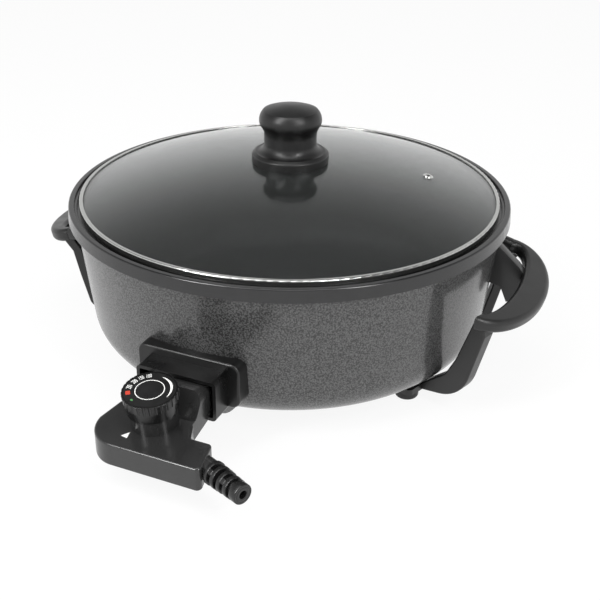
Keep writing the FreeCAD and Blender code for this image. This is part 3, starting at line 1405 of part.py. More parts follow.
def switch_frame():
    """Plate on the floor below the spindle, with the post that carries the blades."""
    frame = floor_frame("0", "dial_place + switch_shift")
    corner = point("-switch_plate_width / 2", "-switch_plate_ahead", "0")
    place = frame * Placement(corner, Rotation())
    plate = box("switch_base_plate", "switch_plate_width", "switch_plate_length", "switch_plate", place)
    corner = point("-post_width / 2", "post_behind", "switch_plate - root_overlap / 2")
    place = frame * Placement(corner, Rotation())
    post = box("switch_post", "post_width", "post_length", "post_height", place)
    return fuse("switch_base", plate, post)


def switch_blades():
    """Two spring blades with contacts, stacked on the post and pressed by the spindle."""
    frame = floor_frame("0", "dial_place + switch_shift")
    pieces = []
    for number in range(2):
        shift, level = f"blade_step * {number}", f"blade_level + blade_pitch * {number}"
        place = frame * Placement(point("-blade_width / 2", f"-blade_ahead + {shift}", level), Rotation())
        pieces.append(box("blade", "blade_width", f"blade_length - {shift}", "blade_sheet", place))
    on_blade = "blade_level + blade_sheet"
    place = frame * Placement(point("-blade_width / 2", "spacer_behind", on_blade), Rotation())
    spacer = box("blade_spacer", "blade_width", "spacer_length", "blade_pitch - blade_sheet", place)
    place = frame * Placement(point("0", "-contact_ahead", on_blade), Rotation())
    contact = cylinder("blade_contact", "contact_radius", "contact_height", place)
    return fuse("blade_stack", *pieces, spacer, contact)


def cord_clamp():
    """Bar that grips the cord behind the boot."""
    reach = "(boot_y - (boot_x - clamp_x) * tan(boot_turn))"
    corner = point("-clamp_length / 2", "-clamp_width / 2", "0")
    place = floor_frame("clamp_x", reach) * Placement(corner, Rotation())
    bar = box("clamp_bar", "clamp_length", "clamp_width", "clamp_height", place)
    saddle = cylinder("clamp_saddle", "cord_radius", f"2 * {SPARE}")
    start = point(f"clamp_x - {SPARE}", f"-{reach}", "boot_height")
    saddle.Placement = Placement(start, Rotation(ALONG_Y, 90))
    return cut("clamp", bar, saddle)


def boot_frame():
    """Frame of the boot: its origin in the collar's end, its Z axis out of the housing."""
    turn = turned(ALONG_Z, "-boot_turn") * Rotation(ALONG_Y, 90)
    return Placement(point("boot_x", "-boot_y", "boot_height"), turn)


def cord_boot():
    """Ribbed strain relief with a bore for the cord, held by its flange in the housing."""
    seat = "-(collar_length + inner_gap)"
    inner = f"({seat} - boot_flange)"
    corners = [
        ("cord_radius", inner),
        ("boot_flange_radius", inner),
        ("boot_flange_radius", seat),
        ("boot_neck_radius", seat),
        ("boot_neck_radius", "inner_gap"),
    ]
    ribs = round(value("boot_ribs"))
    pitch = "boot_length / boot_ribs"
    rib_end, groove_start, groove_end = 0.62, 0.68, 0.94
    for number in range(ribs):
        radius = f"(boot_radius - (boot_radius - boot_tip_radius) * {number} / (boot_ribs - 1))"
        start = f"{pitch} * {number}"
        corners += [
            (radius, f"{start} + inner_gap"),
            (radius, f"{start} + {pitch} * {rib_end}"),
        ]
        if number < ribs - 1:
            corners += [
                ("boot_groove_radius", f"{start} + {pitch} * {groove_start}"),
                ("boot_groove_radius", f"{start} + {pitch} * {groove_end}"),
            ]
    corners += [("cord_radius + boot_tip_wall", "boot_length"), ("cord_radius", "boot_length")]
    return turned_body("boot", corners, placement=boot_frame())


# Dial


def dial_knob():
    """Two-tier fluted knob that turns the spindle."""
    hub = "spindle_radius + dial_hub_wall"
    corners = [
        ("spindle_radius", "dial_bottom + dial_hub_recess"),
        (hub, "dial_bottom + dial_hub_recess"),
        (hub, "dial_ceiling"),
        ("dial_skirt_radius - dial_wall", "dial_ceiling"),
        ("dial_skirt_radius - dial_wall", "dial_bottom"),
        ("dial_skirt_radius - dial_skirt_draft", "dial_bottom"),
        ("dial_skirt_radius", "dial_bottom + dial_skirt_height"),
        ("dial_radius - dial_face_draft", "dial_bottom + dial_skirt_height"),
        ("dial_radius", "dial_top"),
        ("plate_radius", "dial_top"),
        ("plate_radius", "dial_top - plate_thickness"),
        ("0", "dial_top - plate_thickness"),
        ("0", "dial_ceiling"),
        ("spindle_radius", "dial_ceiling"),
    ]
    body = turned_body("dial", corners, rounds={8: "dial_face_round"}, placement=dial_frame())
    flute = new_sketch(body, "XY_Plane", "dial_top")
    add_circle(flute, "dial_radius + dial_flute_stand", "0", "dial_flute_radius")
    first = pocket(body, flute, "dial_height")
    doc.recompute()
    pattern = body.newObject("PartDesign::PolarPattern", "dial_flutes")
    pattern.Originals = [first]
    pattern.Axis = (flute, ["N_Axis"])
    pattern.Angle = 360
    tie(pattern, Occurrences="dial_flutes")
    body.Tip = pattern
    return body


def dial_plate():
    """Round plate with the printed scale, let into the knob's face."""
    radius = "plate_radius - inner_gap"
    bottom = "dial_top - plate_thickness"
    corners = [("0", bottom), (radius, bottom), (radius, "dial_top"), ("0", "dial_top")]
    return turned_body("plate", corners, placement=dial_frame())


def dial_spindle():
    """Spindle from the knob through its bearing to the switch."""
    tail, neck = "-spindle_tail", "spindle_radius"
    under_turret = "turret_height - turret_wall - spindle_play"
    corners = [
        ("0", tail),
        (f"{neck} - spindle_point_taper", tail),
        (neck, f"{tail} + spindle_point"),
        (neck, f"{under_turret} - spindle_collar"),
        (f"{neck} + spindle_collar_stand", f"{under_turret} - spindle_collar"),
        (f"{neck} + spindle_collar_stand", under_turret),
        (neck, under_turret),
        (neck, "dial_ceiling - inner_gap"),
        ("0", "dial_ceiling - inner_gap"),
    ]
    return turned_body("spindle", corners, placement=dial_frame())


doc.recompute()
finish("pan", pan())
finish("rim_ring", rim_ring())
finish("heating_element", sheath("element", "element_tube"))
finish("terminal_pins", terminal_pins())
finish("terminal_insulators", terminal_insulators())
finish("earth_pin", earth_pin())
finish("probe_socket", probe_socket())
finish("socket_guard", socket_guard())
finish("guard_screws", guard_screws())
for side in HANDLE_TURNS:
    finish(f"{side}_handle", handle(side))
finish("handle_screws", handle_screws())
for side, turn in HANDLE_TURNS.items():
    for kind, way in (("leg", "-"), ("strut", "+")):
        finish(f"{side}_{kind}_foot", foot(f"{side}_{kind}_peg", f"{turn} {way} foot_angle"))
finish("lid_glass", lid_glass())
finish("lid_band", lid_band())
finish("vent_grommet", vent_grommet())
finish("lid_knob", lid_knob())
finish("knob_washer", knob_washer())
finish("knob_screw", knob_screw())
finish("thermostat_upper", case_half("upper_case", True))
finish("thermostat_lower", case_half("lower_case", False))
finish("housing_screws", housing_screws())
finish("contact_block", contact_block())
finish("contact_sockets", contact_sockets())
finish("earth_socket", socket_tube("earth_tube", "0", "earth_height"))
finish("probe_tube", probe_tube())
finish("switch_frame", switch_frame())
finish("switch_blades", switch_blades())
finish("cord_clamp", cord_clamp())
finish("cord_boot", cord_boot())
finish("dial_knob", dial_knob())
finish("dial_plate", dial_plate())
finish("dial_spindle", dial_spindle())
doc.recompute()
broken = [made.Name for made in doc.Objects if {"Invalid", "Error"} & set(made.State)]
broken += [label for label, made in subparts.items() if made.Shape.isNull() or not made.Shape.isValid()]
if broken:
    raise RuntimeError(f"not built: {broken}")
os.makedirs(OUT, exist_ok=True)
for label, made in subparts.items():
    made.Shape.exportStep(os.path.join(OUT, f"{label}.step"))
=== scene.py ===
"""Electric pizza maker dressed for its picture: a hammered pan with a stepped rim, a domed glass
lid, two phenolic handles on legs, and a plug-in thermostat with a printed dial.

Metres, +Z up, the table at z = 0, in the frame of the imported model.
"""

import math

import bpy
from mathutils import Matrix, Vector


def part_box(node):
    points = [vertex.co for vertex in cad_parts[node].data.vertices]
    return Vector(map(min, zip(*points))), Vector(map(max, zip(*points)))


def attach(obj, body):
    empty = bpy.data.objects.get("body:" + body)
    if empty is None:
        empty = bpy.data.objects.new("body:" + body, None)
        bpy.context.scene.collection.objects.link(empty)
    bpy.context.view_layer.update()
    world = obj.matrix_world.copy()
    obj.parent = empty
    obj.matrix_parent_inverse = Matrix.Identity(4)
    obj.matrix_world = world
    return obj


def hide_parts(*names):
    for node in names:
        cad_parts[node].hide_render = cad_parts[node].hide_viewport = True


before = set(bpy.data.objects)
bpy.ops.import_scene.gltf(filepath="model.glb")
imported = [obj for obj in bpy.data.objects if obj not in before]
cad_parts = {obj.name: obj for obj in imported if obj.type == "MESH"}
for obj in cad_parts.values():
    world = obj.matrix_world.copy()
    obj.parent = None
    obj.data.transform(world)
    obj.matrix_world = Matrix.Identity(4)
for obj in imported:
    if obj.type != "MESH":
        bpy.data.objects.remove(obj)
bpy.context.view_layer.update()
MM = 0.001


# Camera
#
# A product photographer's view from in front and a little to the right, looking down on the lid
# by some 28 degrees, from about a metre away.

CAMERA_PLACE = Vector((378.8, -783.0, 517.8)) * MM
CAMERA_HEADING = math.radians(23.82)
CAMERA_FALL = math.radians(27.79)
CAMERA_ROLL = math.radians(0.68)
CAMERA_LENS = 60.66

bpy.ops.object.camera_add(location=CAMERA_PLACE)
camera = bpy.context.object
camera.name = "camera"
camera.data.lens = CAMERA_LENS
camera.data.sensor_width = 36
camera.matrix_world = (
    Matrix.Translation(CAMERA_PLACE)
    @ Matrix.Rotation(CAMERA_HEADING, 4, "Z")
    @ Matrix.Rotation(math.pi / 2 - CAMERA_FALL, 4, "X")
    @ Matrix.Rotation(CAMERA_ROLL, 4, "Z")
)
bpy.context.scene.camera = camera
bpy.context.scene.view_settings.view_transform = "Standard"


# Studio
#
# A white sweep of paper under and behind the object, two tall softboxes in front, and a large
# one overhead. The paper is seen nearly at full white and still takes the object's shadow.


def linear(code):
    """An sRGB hex colour as linear red, green, blue and alpha."""
    levels = [int(code[i : i + 2], 16) / 255 for i in (1, 3, 5)]
    return [c / 12.92 if c <= 0.04045 else ((c + 0.055) / 1.055) ** 2.4 for c in levels] + [1.0]


def add(tree, kind, values=None, **settings):
    """Add a node with its settings; each value is put on an input or linked to it.

    A Mix node blends the numbers on its inputs 2 and 3, or else the colours on 6 and 7, and a
    blend of colours leaves by its output 2.
    """
    node = tree.nodes.new(kind)
    for name, setting in settings.items():
        setattr(node, name, setting)
    for name, given in (values or {}).items():
        if isinstance(given, bpy.types.NodeSocket):
            tree.links.new(given, node.inputs[name])
        else:
            node.inputs[name].default_value = given
    return node


def start_material(name, **surface):
    """Start a material; the words are the shader's sockets that are the same all over."""
    made = bpy.data.materials.new(name)
    made.use_nodes = True
    shader = made.node_tree.nodes["Principled BSDF"]
    for word, given in surface.items():
        shader.inputs[word.replace("_", " ")].default_value = given
    return made, made.node_tree, shader


FLOOR_SIZE = 12.0
FLOOR_DROP = 0.2 * MM
PAPER_GLOW = 0.9

bpy.ops.mesh.primitive_plane_add(size=FLOOR_SIZE, location=(0, 0, -FLOOR_DROP))
floor = bpy.context.object
floor.name = "paper_floor"
bpy.ops.object.transform_apply(location=True, rotation=True, scale=True)

# Matt paper: nearly white and without shine. What looks at it or mirrors it sees it glow.
paper, tree, shader = start_material("matt_paper", Roughness=0.9)
shader.inputs["Base Color"].default_value = linear("#f4f4f4")
rays = add(tree, "ShaderNodeLightPath")
mirrored = add(
    tree,
    "ShaderNodeMath",
    {0: rays.outputs["Is Glossy Ray"], 1: rays.outputs["Is Transmission Ray"]},
    operation="MAXIMUM",
)
looked_at = add(
    tree,
    "ShaderNodeMath",
    {0: rays.outputs["Is Camera Ray"], 1: mirrored.outputs[0]},
    operation="MAXIMUM",
)
seen = add(tree, "ShaderNodeMath", {0: looked_at.outputs[0], 1: PAPER_GLOW}, operation="MULTIPLY")
glow = add(tree, "ShaderNodeEmission", {"Color": linear("#ffffff"), "Strength": 1.0})
both = add(tree, "ShaderNodeMixShader", {0: seen.outputs[0], 1: shader.outputs[0], 2: glow.outputs[0]})
tree.links.new(both.outputs[0], tree.nodes["Material Output"].inputs["Surface"])
floor.data.materials.append(paper)

# The studio's walls: white to the camera, soft grey to the object, and darker towards the top
# where a shiny face mirrors them. Each pair is a height on the wall and the glow seen there.
HORIZON = (0.15, 0.95)
ZENITH = (0.85, 0.16)
ROOM_LIGHT = 0.5

world = bpy.data.worlds.new("studio")
bpy.context.scene.world = world
world.use_nodes = True
tree = world.node_tree
sky = tree.nodes["Background"]
place = add(tree, "ShaderNodeTexCoord")
parts = add(tree, "ShaderNodeSeparateXYZ", {0: place.outputs["Generated"]})
fade = add(
    tree,
    "ShaderNodeMapRange",
    {
        "Value": parts.outputs["Z"],
        "From Min": HORIZON[0],
        "From Max": ZENITH[0],
        "To Min": HORIZON[1],
        "To Max": ZENITH[1],
    },
    interpolation_type="SMOOTHSTEP",
)
rays = add(tree, "ShaderNodeLightPath")
mirrored = add(
    tree,
    "ShaderNodeMath",
    {0: rays.outputs["Is Glossy Ray"], 1: rays.outputs["Is Transmission Ray"]},
    operation="MAXIMUM",
)
reflected = add(tree, "ShaderNodeMix", {0: mirrored.outputs[0], 2: ROOM_LIGHT, 3: fade.outputs["Result"]})
strength = add(tree, "ShaderNodeMix", {0: rays.outputs["Is Camera Ray"], 2: reflected.outputs[0], 3: 1.0})
tree.links.new(strength.outputs[0], sky.inputs["Strength"])
sky.inputs["Color"].default_value = linear("#ffffff")

AIM_HEIGHT = 80 * MM


def softbox(name, azimuth, elevation, distance, size, power):
    """Hang an area lamp aimed at the pan; azimuth is counted from the front towards +X."""
    aim = Vector((0, 0, AIM_HEIGHT))
    flat = math.radians(azimuth)
    rise = math.radians(elevation)
    away = Vector((math.sin(flat) * math.cos(rise), -math.cos(flat) * math.cos(rise), math.sin(rise)))
    bpy.ops.object.light_add(type="AREA", location=aim + away * distance)
    lamp = bpy.context.object
    lamp.name = name
    lamp.rotation_euler = away.to_track_quat("Z", "Y").to_euler()
    lamp.data.shape = "RECTANGLE"
    lamp.data.size, lamp.data.size_y = size
    lamp.data.energy = power


softbox("left_strip", azimuth=-25, elevation=42, distance=1.9, size=(0.28, 1.6), power=24)
softbox("right_strip", azimuth=62, elevation=38, distance=1.9, size=(0.3, 1.2), power=16)
softbox("top_softbox", azimuth=10, elevation=82, distance=2.0, size=(1.4, 1.4), power=14)


# Pan
#
# One aluminium casting: base, wall, terminal boss and the ridge that holds the element. It is
# sprayed outside with a hammer-finish enamel and lined inside with black non-stick.

FLAKE = 1.3 * MM
FLAKE_GRAIN = 1.0 * MM
FLAKE_RELIEF = 0.18 * MM
FLAKE_LIGHT = 0.7
FLAKE_DARK = 1.1
SKIN = 0.8
LINING_GRAIN = 0.6 * MM

# The section's middle line, which parts the coat from the lining: the centre of the corner's
# round and its radius, and the wall's top with its lean up to there.
CORNER_REACH = 157.4 * MM
CORNER_HEIGHT = 52 * MM
CORNER_ROUND = 35.2 * MM
WALL_TOP = 147 * MM
WALL_SPREAD = 10.4 * MM

rim_low, rim_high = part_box("rim_ring")
axis = (rim_low + rim_high) / 2


def dress(name, material):
    """Give a CAD node its material."""
    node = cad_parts[name]
    node.data.materials.clear()
    node.data.materials.append(material)


# Hammer-finish enamel: aluminium flake floats in a dark grey resin and gathers in spots about
# a millimetre across, under a clear skin that turns pale where it is seen at a low angle. The
# lining is a black non-stick coat with fine grey specks, and begins at the middle of the wall.
# Its greys are painted light: the black coat is painted a lighter grey to stand in for the light
# that falls in through the glass lid.
enamel, tree, shader = start_material(
    "hammer_finish_enamel", Metallic=0.2, Roughness=0.55, Coat_Roughness=0.16, Coat_IOR=1.6
)
place = add(tree, "ShaderNodeTexCoord")
around = add(tree, "ShaderNodeMapping", {"Vector": place.outputs["Object"], "Location": (0, -axis.y, 0)})
flakes = add(
    tree,
    "ShaderNodeTexVoronoi",
    {"Vector": around.outputs[0], "Scale": 1 / FLAKE, "Randomness": 1.0},
    feature="SMOOTH_F1",
)
grain = add(
    tree,
    "ShaderNodeTexNoise",
    {"Vector": around.outputs[0], "Scale": 1 / FLAKE_GRAIN, "Detail": 2.0},
)
relief = add(
    tree,
    "ShaderNodeMath",
    {0: flakes.outputs["Distance"], 1: grain.outputs["Fac"]},
    operation="ADD",
)
drift = add(
    tree,
    "ShaderNodeMapRange",
    {"Value": relief.outputs[0], "From Min": FLAKE_LIGHT, "From Max": FLAKE_DARK},
)
coat = add(
    tree,
    "ShaderNodeMix",
    {0: drift.outputs["Result"], 6: linear("#505050"), 7: linear("#090909")},
    data_type="RGBA",
)
specks = add(
    tree,
    "ShaderNodeTexNoise",
    {"Vector": around.outputs[0], "Scale": 1 / LINING_GRAIN, "Detail": 1.0},
)
# Painted light: the lining's greys are lighter than its black coat, for the light through the lid.
lining_with_painted_light = add(
    tree,
    "ShaderNodeMix",
    {0: specks.outputs["Fac"], 6: linear("#383838"), 7: linear("#4a4a4a")},
    data_type="RGBA",
)

# The distance from the corner's centre, with the wall set upright, says which side it is.
spread = add(tree, "ShaderNodeSeparateXYZ", {0: around.outputs[0]})
flat = add(tree, "ShaderNodeCombineXYZ", {"X": spread.outputs["X"], "Y": spread.outputs["Y"]})
radius = add(tree, "ShaderNodeVectorMath", {0: flat.outputs[0]}, operation="LENGTH")
flare = add(
    tree,
    "ShaderNodeMapRange",
    {
        "Value": spread.outputs["Z"],
        "From Min": CORNER_HEIGHT,
        "From Max": WALL_TOP,
        "To Max": WALL_SPREAD,
    },
)
upright = add(
    tree,
    "ShaderNodeMath",
    {0: radius.outputs["Value"], 1: flare.outputs["Result"]},
    operation="SUBTRACT",
)
beyond = add(tree, "ShaderNodeMath", {0: upright.outputs[0], 1: CORNER_REACH}, operation="SUBTRACT")
beyond = add(tree, "ShaderNodeMath", {0: beyond.outputs[0], 1: 0.0}, operation="MAXIMUM")
below = add(tree, "ShaderNodeMath", {0: CORNER_HEIGHT, 1: spread.outputs["Z"]}, operation="SUBTRACT")
below = add(tree, "ShaderNodeMath", {0: below.outputs[0], 1: 0.0}, operation="MAXIMUM")
corner = add(tree, "ShaderNodeCombineXYZ", {"X": beyond.outputs[0], "Y": below.outputs[0]})
depth = add(tree, "ShaderNodeVectorMath", {0: corner.outputs[0]}, operation="LENGTH")
outside = add(
    tree,
    "ShaderNodeMath",
    {0: depth.outputs["Value"], 1: CORNER_ROUND},
    operation="GREATER_THAN",
)
sprayed = add(
    tree,
    "ShaderNodeMix",
    {0: outside.outputs[0], 6: lining_with_painted_light.outputs[2], 7: coat.outputs[2]},
    data_type="RGBA",
)
tree.links.new(sprayed.outputs[2], shader.inputs["Base Color"])
skin = add(tree, "ShaderNodeMath", {0: outside.outputs[0], 1: SKIN}, operation="MULTIPLY")
tree.links.new(skin.outputs[0], shader.inputs["Coat Weight"])
bump = add(tree, "ShaderNodeBump", {"Height": relief.outputs[0], "Distance": FLAKE_RELIEF})
tree.links.new(bump.outputs[0], shader.inputs["Normal"])
dress("pan", enamel)


# Rim
#
# A stepped ring rolled over the wall's top edge, which guides the lid's band. It is sprayed with
# a smooth satin enamel that runs slightly uneven, like the skin of an orange.

PATCH_LOW = 0.3
PATCH_HIGH = 0.7


def grained(name, shades, patch, grain, relief, gloss, **surface):
    """A material whose shade and gloss drift in patches over a fine relief.

    The patch, the grain and the relief are in millimetres.
    """
    made, tree, shader = start_material(name, **surface)
    place = add(tree, "ShaderNodeTexCoord").outputs["Object"]
    patches = add(tree, "ShaderNodeTexNoise", {"Vector": place, "Scale": 1 / (patch * MM), "Detail": 3.0})
    spread = add(
        tree,
        "ShaderNodeMapRange",
        {"Value": patches.outputs["Fac"], "From Min": PATCH_LOW, "From Max": PATCH_HIGH},
    )
    shade = add(
        tree,
        "ShaderNodeMix",
        {0: spread.outputs["Result"], 6: linear(shades[0]), 7: linear(shades[1])},
        data_type="RGBA",
    )
    tree.links.new(shade.outputs[2], shader.inputs["Base Color"])
    rough = add(
        tree,
        "ShaderNodeMapRange",
        {"Value": spread.outputs["Result"], "To Min": gloss[0], "To Max": gloss[1]},
    )
    tree.links.new(rough.outputs["Result"], shader.inputs["Roughness"])
    fine = add(tree, "ShaderNodeTexNoise", {"Vector": place, "Scale": 1 / (grain * MM), "Detail": 2.0})
    bump = add(tree, "ShaderNodeBump", {"Height": fine.outputs["Fac"], "Distance": relief * MM})
    tree.links.new(bump.outputs[0], shader.inputs["Normal"])
    return made


# Satin stove enamel: black, smooth and even, with a low shine that blurs the lamps.
satin = grained(
    "satin_stove_enamel",
    ("#121213", "#19191a"),
    patch=14, grain=1.6, relief=0.012, gloss=(0.16, 0.24), IOR=1.6,
)
dress("rim_ring", satin)


# Handles, legs and feet
#
# Each handle is one pressing of black phenolic resin: a loop with a leg at one end and a strut
# at the other, screwed under the base, and a bracket that keeps the grip off the wall. Rubber
# pegs stand under the screws.

# Pressed phenolic resin: near black, with the dry satin skin that the mould leaves on it.
phenolic = grained(
    "pressed_phenolic",
    ("#151515", "#1c1c1c"),
    patch=18, grain=0.5, relief=0.012, gloss=(0.3, 0.42),
)
for name in ("right_handle", "left_handle"):
    dress(name, phenolic)

# The bracket stands between the wall and the loop's middle, and over the strut the loop's end
# runs on into the wall. The bracket's corners are reach and height, the root's are reach beyond
# the loop's centre and distance sideways.
BRACKET = (
    (197.2, 88), (209, 84), (215.5, 69), (223, 73), (229, 93), (229, 101), (224, 107), (201.6, 128),
)
BRACKET_ANGLE = math.radians(9)
BRACKET_WIDTH = 13 * MM
BRACKET_EDGE = 0.6 * MM
LOOP_ROOT = ((-2, 75), (-2, 86.4), (-12, 86.4), (-29, 84.5), (-24, 74.5))
LOOP_ROOT_WIDTH = 12.8 * MM
LOOP_ROOT_EDGE = 4 * MM
LOOP_MIDDLE = Vector((208, 0, 102.6)) * MM
LOOP_LEAN = math.radians(15)
SOFT_ANGLE = math.radians(35)


def settle(piece, name, material, body, place):
    """Name a finished piece, put its place into its mesh, and let it ride on its body."""
    piece.name = name
    piece.matrix_world = place @ piece.matrix_world
    bpy.ops.object.select_all(action="DESELECT")
    piece.select_set(True)
    bpy.context.view_layer.objects.active = piece
    bpy.ops.object.transform_apply(location=True, rotation=True, scale=True)
    piece.data.materials.clear()
    piece.data.materials.append(material)
    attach(piece, body)


def apply_modifiers(piece):
    """Apply every modifier of a piece in its order."""
    bpy.context.view_layer.objects.active = piece
    for modifier in list(piece.modifiers):
        bpy.ops.object.modifier_apply(modifier=modifier.name)


def pressed_block(corners, width, edge):
    """A block of a given outline, with half of its width on each side and softened edges."""
    bpy.ops.object.select_all(action="DESELECT")
    bpy.ops.mesh.primitive_circle_add(vertices=len(corners), radius=1, fill_type="NGON")
    block = bpy.context.object
    for vertex, corner in zip(block.data.vertices, corners):
        vertex.co = Vector(corner) * MM
    plate = block.modifiers.new("plate", "SOLIDIFY")
    plate.thickness = width
    plate.offset = 0
    soft = block.modifiers.new("soft_edge", "BEVEL")
    soft.width = edge
    soft.segments = 3
    apply_modifiers(block)
    bpy.ops.object.mode_set(mode="EDIT")
    bpy.ops.mesh.select_all(action="SELECT")
    bpy.ops.mesh.normals_make_consistent(inside=False)
    bpy.ops.object.mode_set(mode="OBJECT")
    bpy.ops.object.shade_smooth_by_angle(angle=SOFT_ANGLE)
    return block


for side, turn in (("right", 0), ("left", math.pi)):
    outwards = Matrix.Translation((0, axis.y, 0)) @ Matrix.Rotation(turn, 4, "Z")
    upright = [(reach, 0, height) for reach, height in BRACKET]
    bracket = pressed_block(upright, BRACKET_WIDTH, BRACKET_EDGE)
    place = outwards @ Matrix.Rotation(BRACKET_ANGLE, 4, "Z")
    settle(bracket, f"{side}_handle_bracket", phenolic, "cooker", place)
    lying = [(reach, across, 0) for reach, across in LOOP_ROOT]
    root = pressed_block(lying, LOOP_ROOT_WIDTH, LOOP_ROOT_EDGE)
    place = outwards @ Matrix.Translation(LOOP_MIDDLE) @ Matrix.Rotation(LOOP_LEAN, 4, "Y")
    settle(root, f"{side}_handle_root", phenolic, "cooker", place)

# Moulded rubber: black, with a dusty grain that hardly shines.
rubber = grained(
    "moulded_rubber",
    ("#101010", "#191919"),
    patch=6, grain=0.4, relief=0.02, gloss=(0.42, 0.6),
)
for name in ("right_leg_foot", "right_strut_foot", "left_leg_foot", "left_strut_foot"):
    dress(name, rubber)

# Zinc-plated steel: pale grey and bright, with a faint bloom from the plating bath.
zinc = grained(
    "zinc_plated_steel",
    ("#b4b5b2", "#8f908e"),
    patch=2, grain=0.3, relief=0.01, gloss=(0.22, 0.38), Metallic=1.0,
)
dress("handle_screws", zinc)


# Element and terminals
#
# A sheathed heating rod lies in the ridge under the base and turns up into the boss, where its
# two plated pins leave through glazed beads. The earth pin stands between and above them, and a
# steel sleeve in the boss takes the thermostat's probe.

# Heating sheath: alloy steel, browned and dulled by its first heats.
browned = grained(
    "heat_browned_sheath",
    ("#5a5350", "#39332f"),
    patch=9, grain=0.6, relief=0.02, gloss=(0.4, 0.6), Metallic=1.0,
)
dress("heating_element", browned)

# Nickel-plated brass: warm white metal with light scratches from plugging.
nickel = grained(
    "nickel_plated_brass",
    ("#c9c3b4", "#a8a294"),
    patch=3, grain=0.25, relief=0.01, gloss=(0.15, 0.3), Metallic=1.0,
)
for name in ("terminal_pins", "earth_pin"):
    dress(name, nickel)

# Glazed steatite: chalky white ceramic under a thin glaze, faintly mottled.
steatite = grained(
    "glazed_steatite",
    ("#e6e1d4", "#d3cdbf"),
    patch=1.5, grain=0.4, relief=0.01, gloss=(0.2, 0.35),
)
dress("terminal_insulators", steatite)
dress("probe_socket", zinc)


# Terminal guard
#
# A black phenolic hood over the boss. Its flange follows the wall, and its open shroud guides
# the thermostat's neck on to the pins.

# Polished phenolic: deep black, a shade shinier than the handles.
hood = grained(
    "polished_phenolic",
    ("#070707", "#0d0d0d"),
    patch=22, grain=1.2, relief=0.01, gloss=(0.26, 0.36),
)
dress("socket_guard", hood)
dress("guard_screws", zinc)


# Lid
#
# A dome of toughened glass held by a rolled steel band, with a steel eyelet for the steam and a
# waisted phenolic knob that is screwed on through a soft washer.

SMEAR = 22 * MM

# Each pair is a level of the smears' pattern and the glass's roughness there.
CLEAR = (0.45, 0.05)
SMEARED = (0.75, 0.1)

# Toughened glass: clear with a grey cast. Faint smears from wiping soften what it mirrors, and
# a trace of haze lifts the dark behind it.
glass, tree, shader = start_material("toughened_glass", IOR=1.5, Transmission_Weight=0.988)
shader.inputs["Base Color"].default_value = linear("#d3d7d6")
place = add(tree, "ShaderNodeTexCoord").outputs["Object"]
smears = add(
    tree,
    "ShaderNodeTexNoise",
    {"Vector": place, "Scale": 1 / SMEAR, "Detail": 4.0, "Distortion": 1.2},
)
film = add(
    tree,
    "ShaderNodeMapRange",
    {
        "Value": smears.outputs["Fac"],
        "From Min": CLEAR[0],
        "From Max": SMEARED[0],
        "To Min": CLEAR[1],
        "To Max": SMEARED[1],
    },
)
tree.links.new(film.outputs["Result"], shader.inputs["Roughness"])
dress("lid_glass", glass)

# Rolled stainless band: polished after rolling, so hair-fine lines run round it.
BRUSH_LINE = 0.25 * MM
BAND_GLOSS = (0.2, 0.28)
band, tree, shader = start_material("rolled_stainless_steel", Metallic=1.0)
place = add(tree, "ShaderNodeTexCoord")
around = add(tree, "ShaderNodeMapping", {"Vector": place.outputs["Object"], "Location": (0, -axis.y, 0)})
parts = add(tree, "ShaderNodeSeparateXYZ", {0: around.outputs[0]})
flat = add(tree, "ShaderNodeCombineXYZ", {"X": parts.outputs["X"], "Y": parts.outputs["Y"]})
radius = add(tree, "ShaderNodeVectorMath", {0: flat.outputs[0]}, operation="LENGTH")
section = add(tree, "ShaderNodeCombineXYZ", {"X": radius.outputs["Value"], "Y": parts.outputs["Z"]})
lines = add(
    tree,
    "ShaderNodeTexNoise",
    {"Vector": section.outputs[0], "Scale": 1 / BRUSH_LINE, "Detail": 2.0},
)
shade = add(
    tree,
    "ShaderNodeMix",
    {0: lines.outputs["Fac"], 6: linear("#d8d8d6"), 7: linear("#bfc0be")},
    data_type="RGBA",
)
tree.links.new(shade.outputs[2], shader.inputs["Base Color"])
rough = add(
    tree,
    "ShaderNodeMapRange",
    {"Value": lines.outputs["Fac"], "To Min": BAND_GLOSS[0], "To Max": BAND_GLOSS[1]},
)
tree.links.new(rough.outputs["Result"], shader.inputs["Roughness"])
for name in ("lid_band", "vent_grommet"):
    dress(name, band)

# Buffed phenolic: the knob is turned and buffed to a soft shine.
buffed = grained(
    "buffed_phenolic",
    ("#0a0a0a", "#101010"),
    patch=16, grain=1.8, relief=0.01, gloss=(0.34, 0.44),
)
dress("lid_knob", buffed)
dress("knob_screw", zinc)

# Silicone washer: matt grey-black, softer in its shine than the resin.
silicone = grained(
    "silicone_rubber",
    ("#2a2a2a", "#222222"),
    patch=4, grain=0.5, relief=0.02, gloss=(0.5, 0.65),
)
dress("knob_washer", silicone)


# Thermostat housing
#
# Two glossy black halves moulded round the switch and closed by three screws from below. A white
# triangle printed on top points at the dial's scale.

# Moulded phenolic with a shiny skin: soft black, with lights that wave over the walls.
glossy = grained(
    "glossy_phenolic",
    ("#222222", "#292929"),
    patch=25, grain=3, relief=0.02, gloss=(0.16, 0.22), IOR=1.6,
)
for name in ("thermostat_upper", "thermostat_lower"):
    dress(name, glossy)
dress("housing_screws", zinc)

# Inside are the block of contacts with the probe, the switch on its ceramic frame and the clamp
# that holds the leads.
for name in ("contact_block", "cord_clamp"):
    dress(name, phenolic)
dress("probe_tube", zinc)
dress("switch_frame", steatite)

# Drawn brass: yellow, with a brown bloom where it has aired.
brass = grained(
    "drawn_brass",
    ("#c9a552", "#9c7a3a"),
    patch=5, grain=0.3, relief=0.01, gloss=(0.2, 0.4), Metallic=1.0,
)
for name in ("contact_sockets", "earth_socket", "switch_blades", "dial_spindle"):
    dress(name, brass)

# Printing ink: opaque white, a little uneven in its film.
white_ink = grained(
    "white_printing_ink",
    ("#f2f2f0", "#dededb"),
    patch=2, grain=0.3, relief=0.004, gloss=(0.4, 0.55),
)

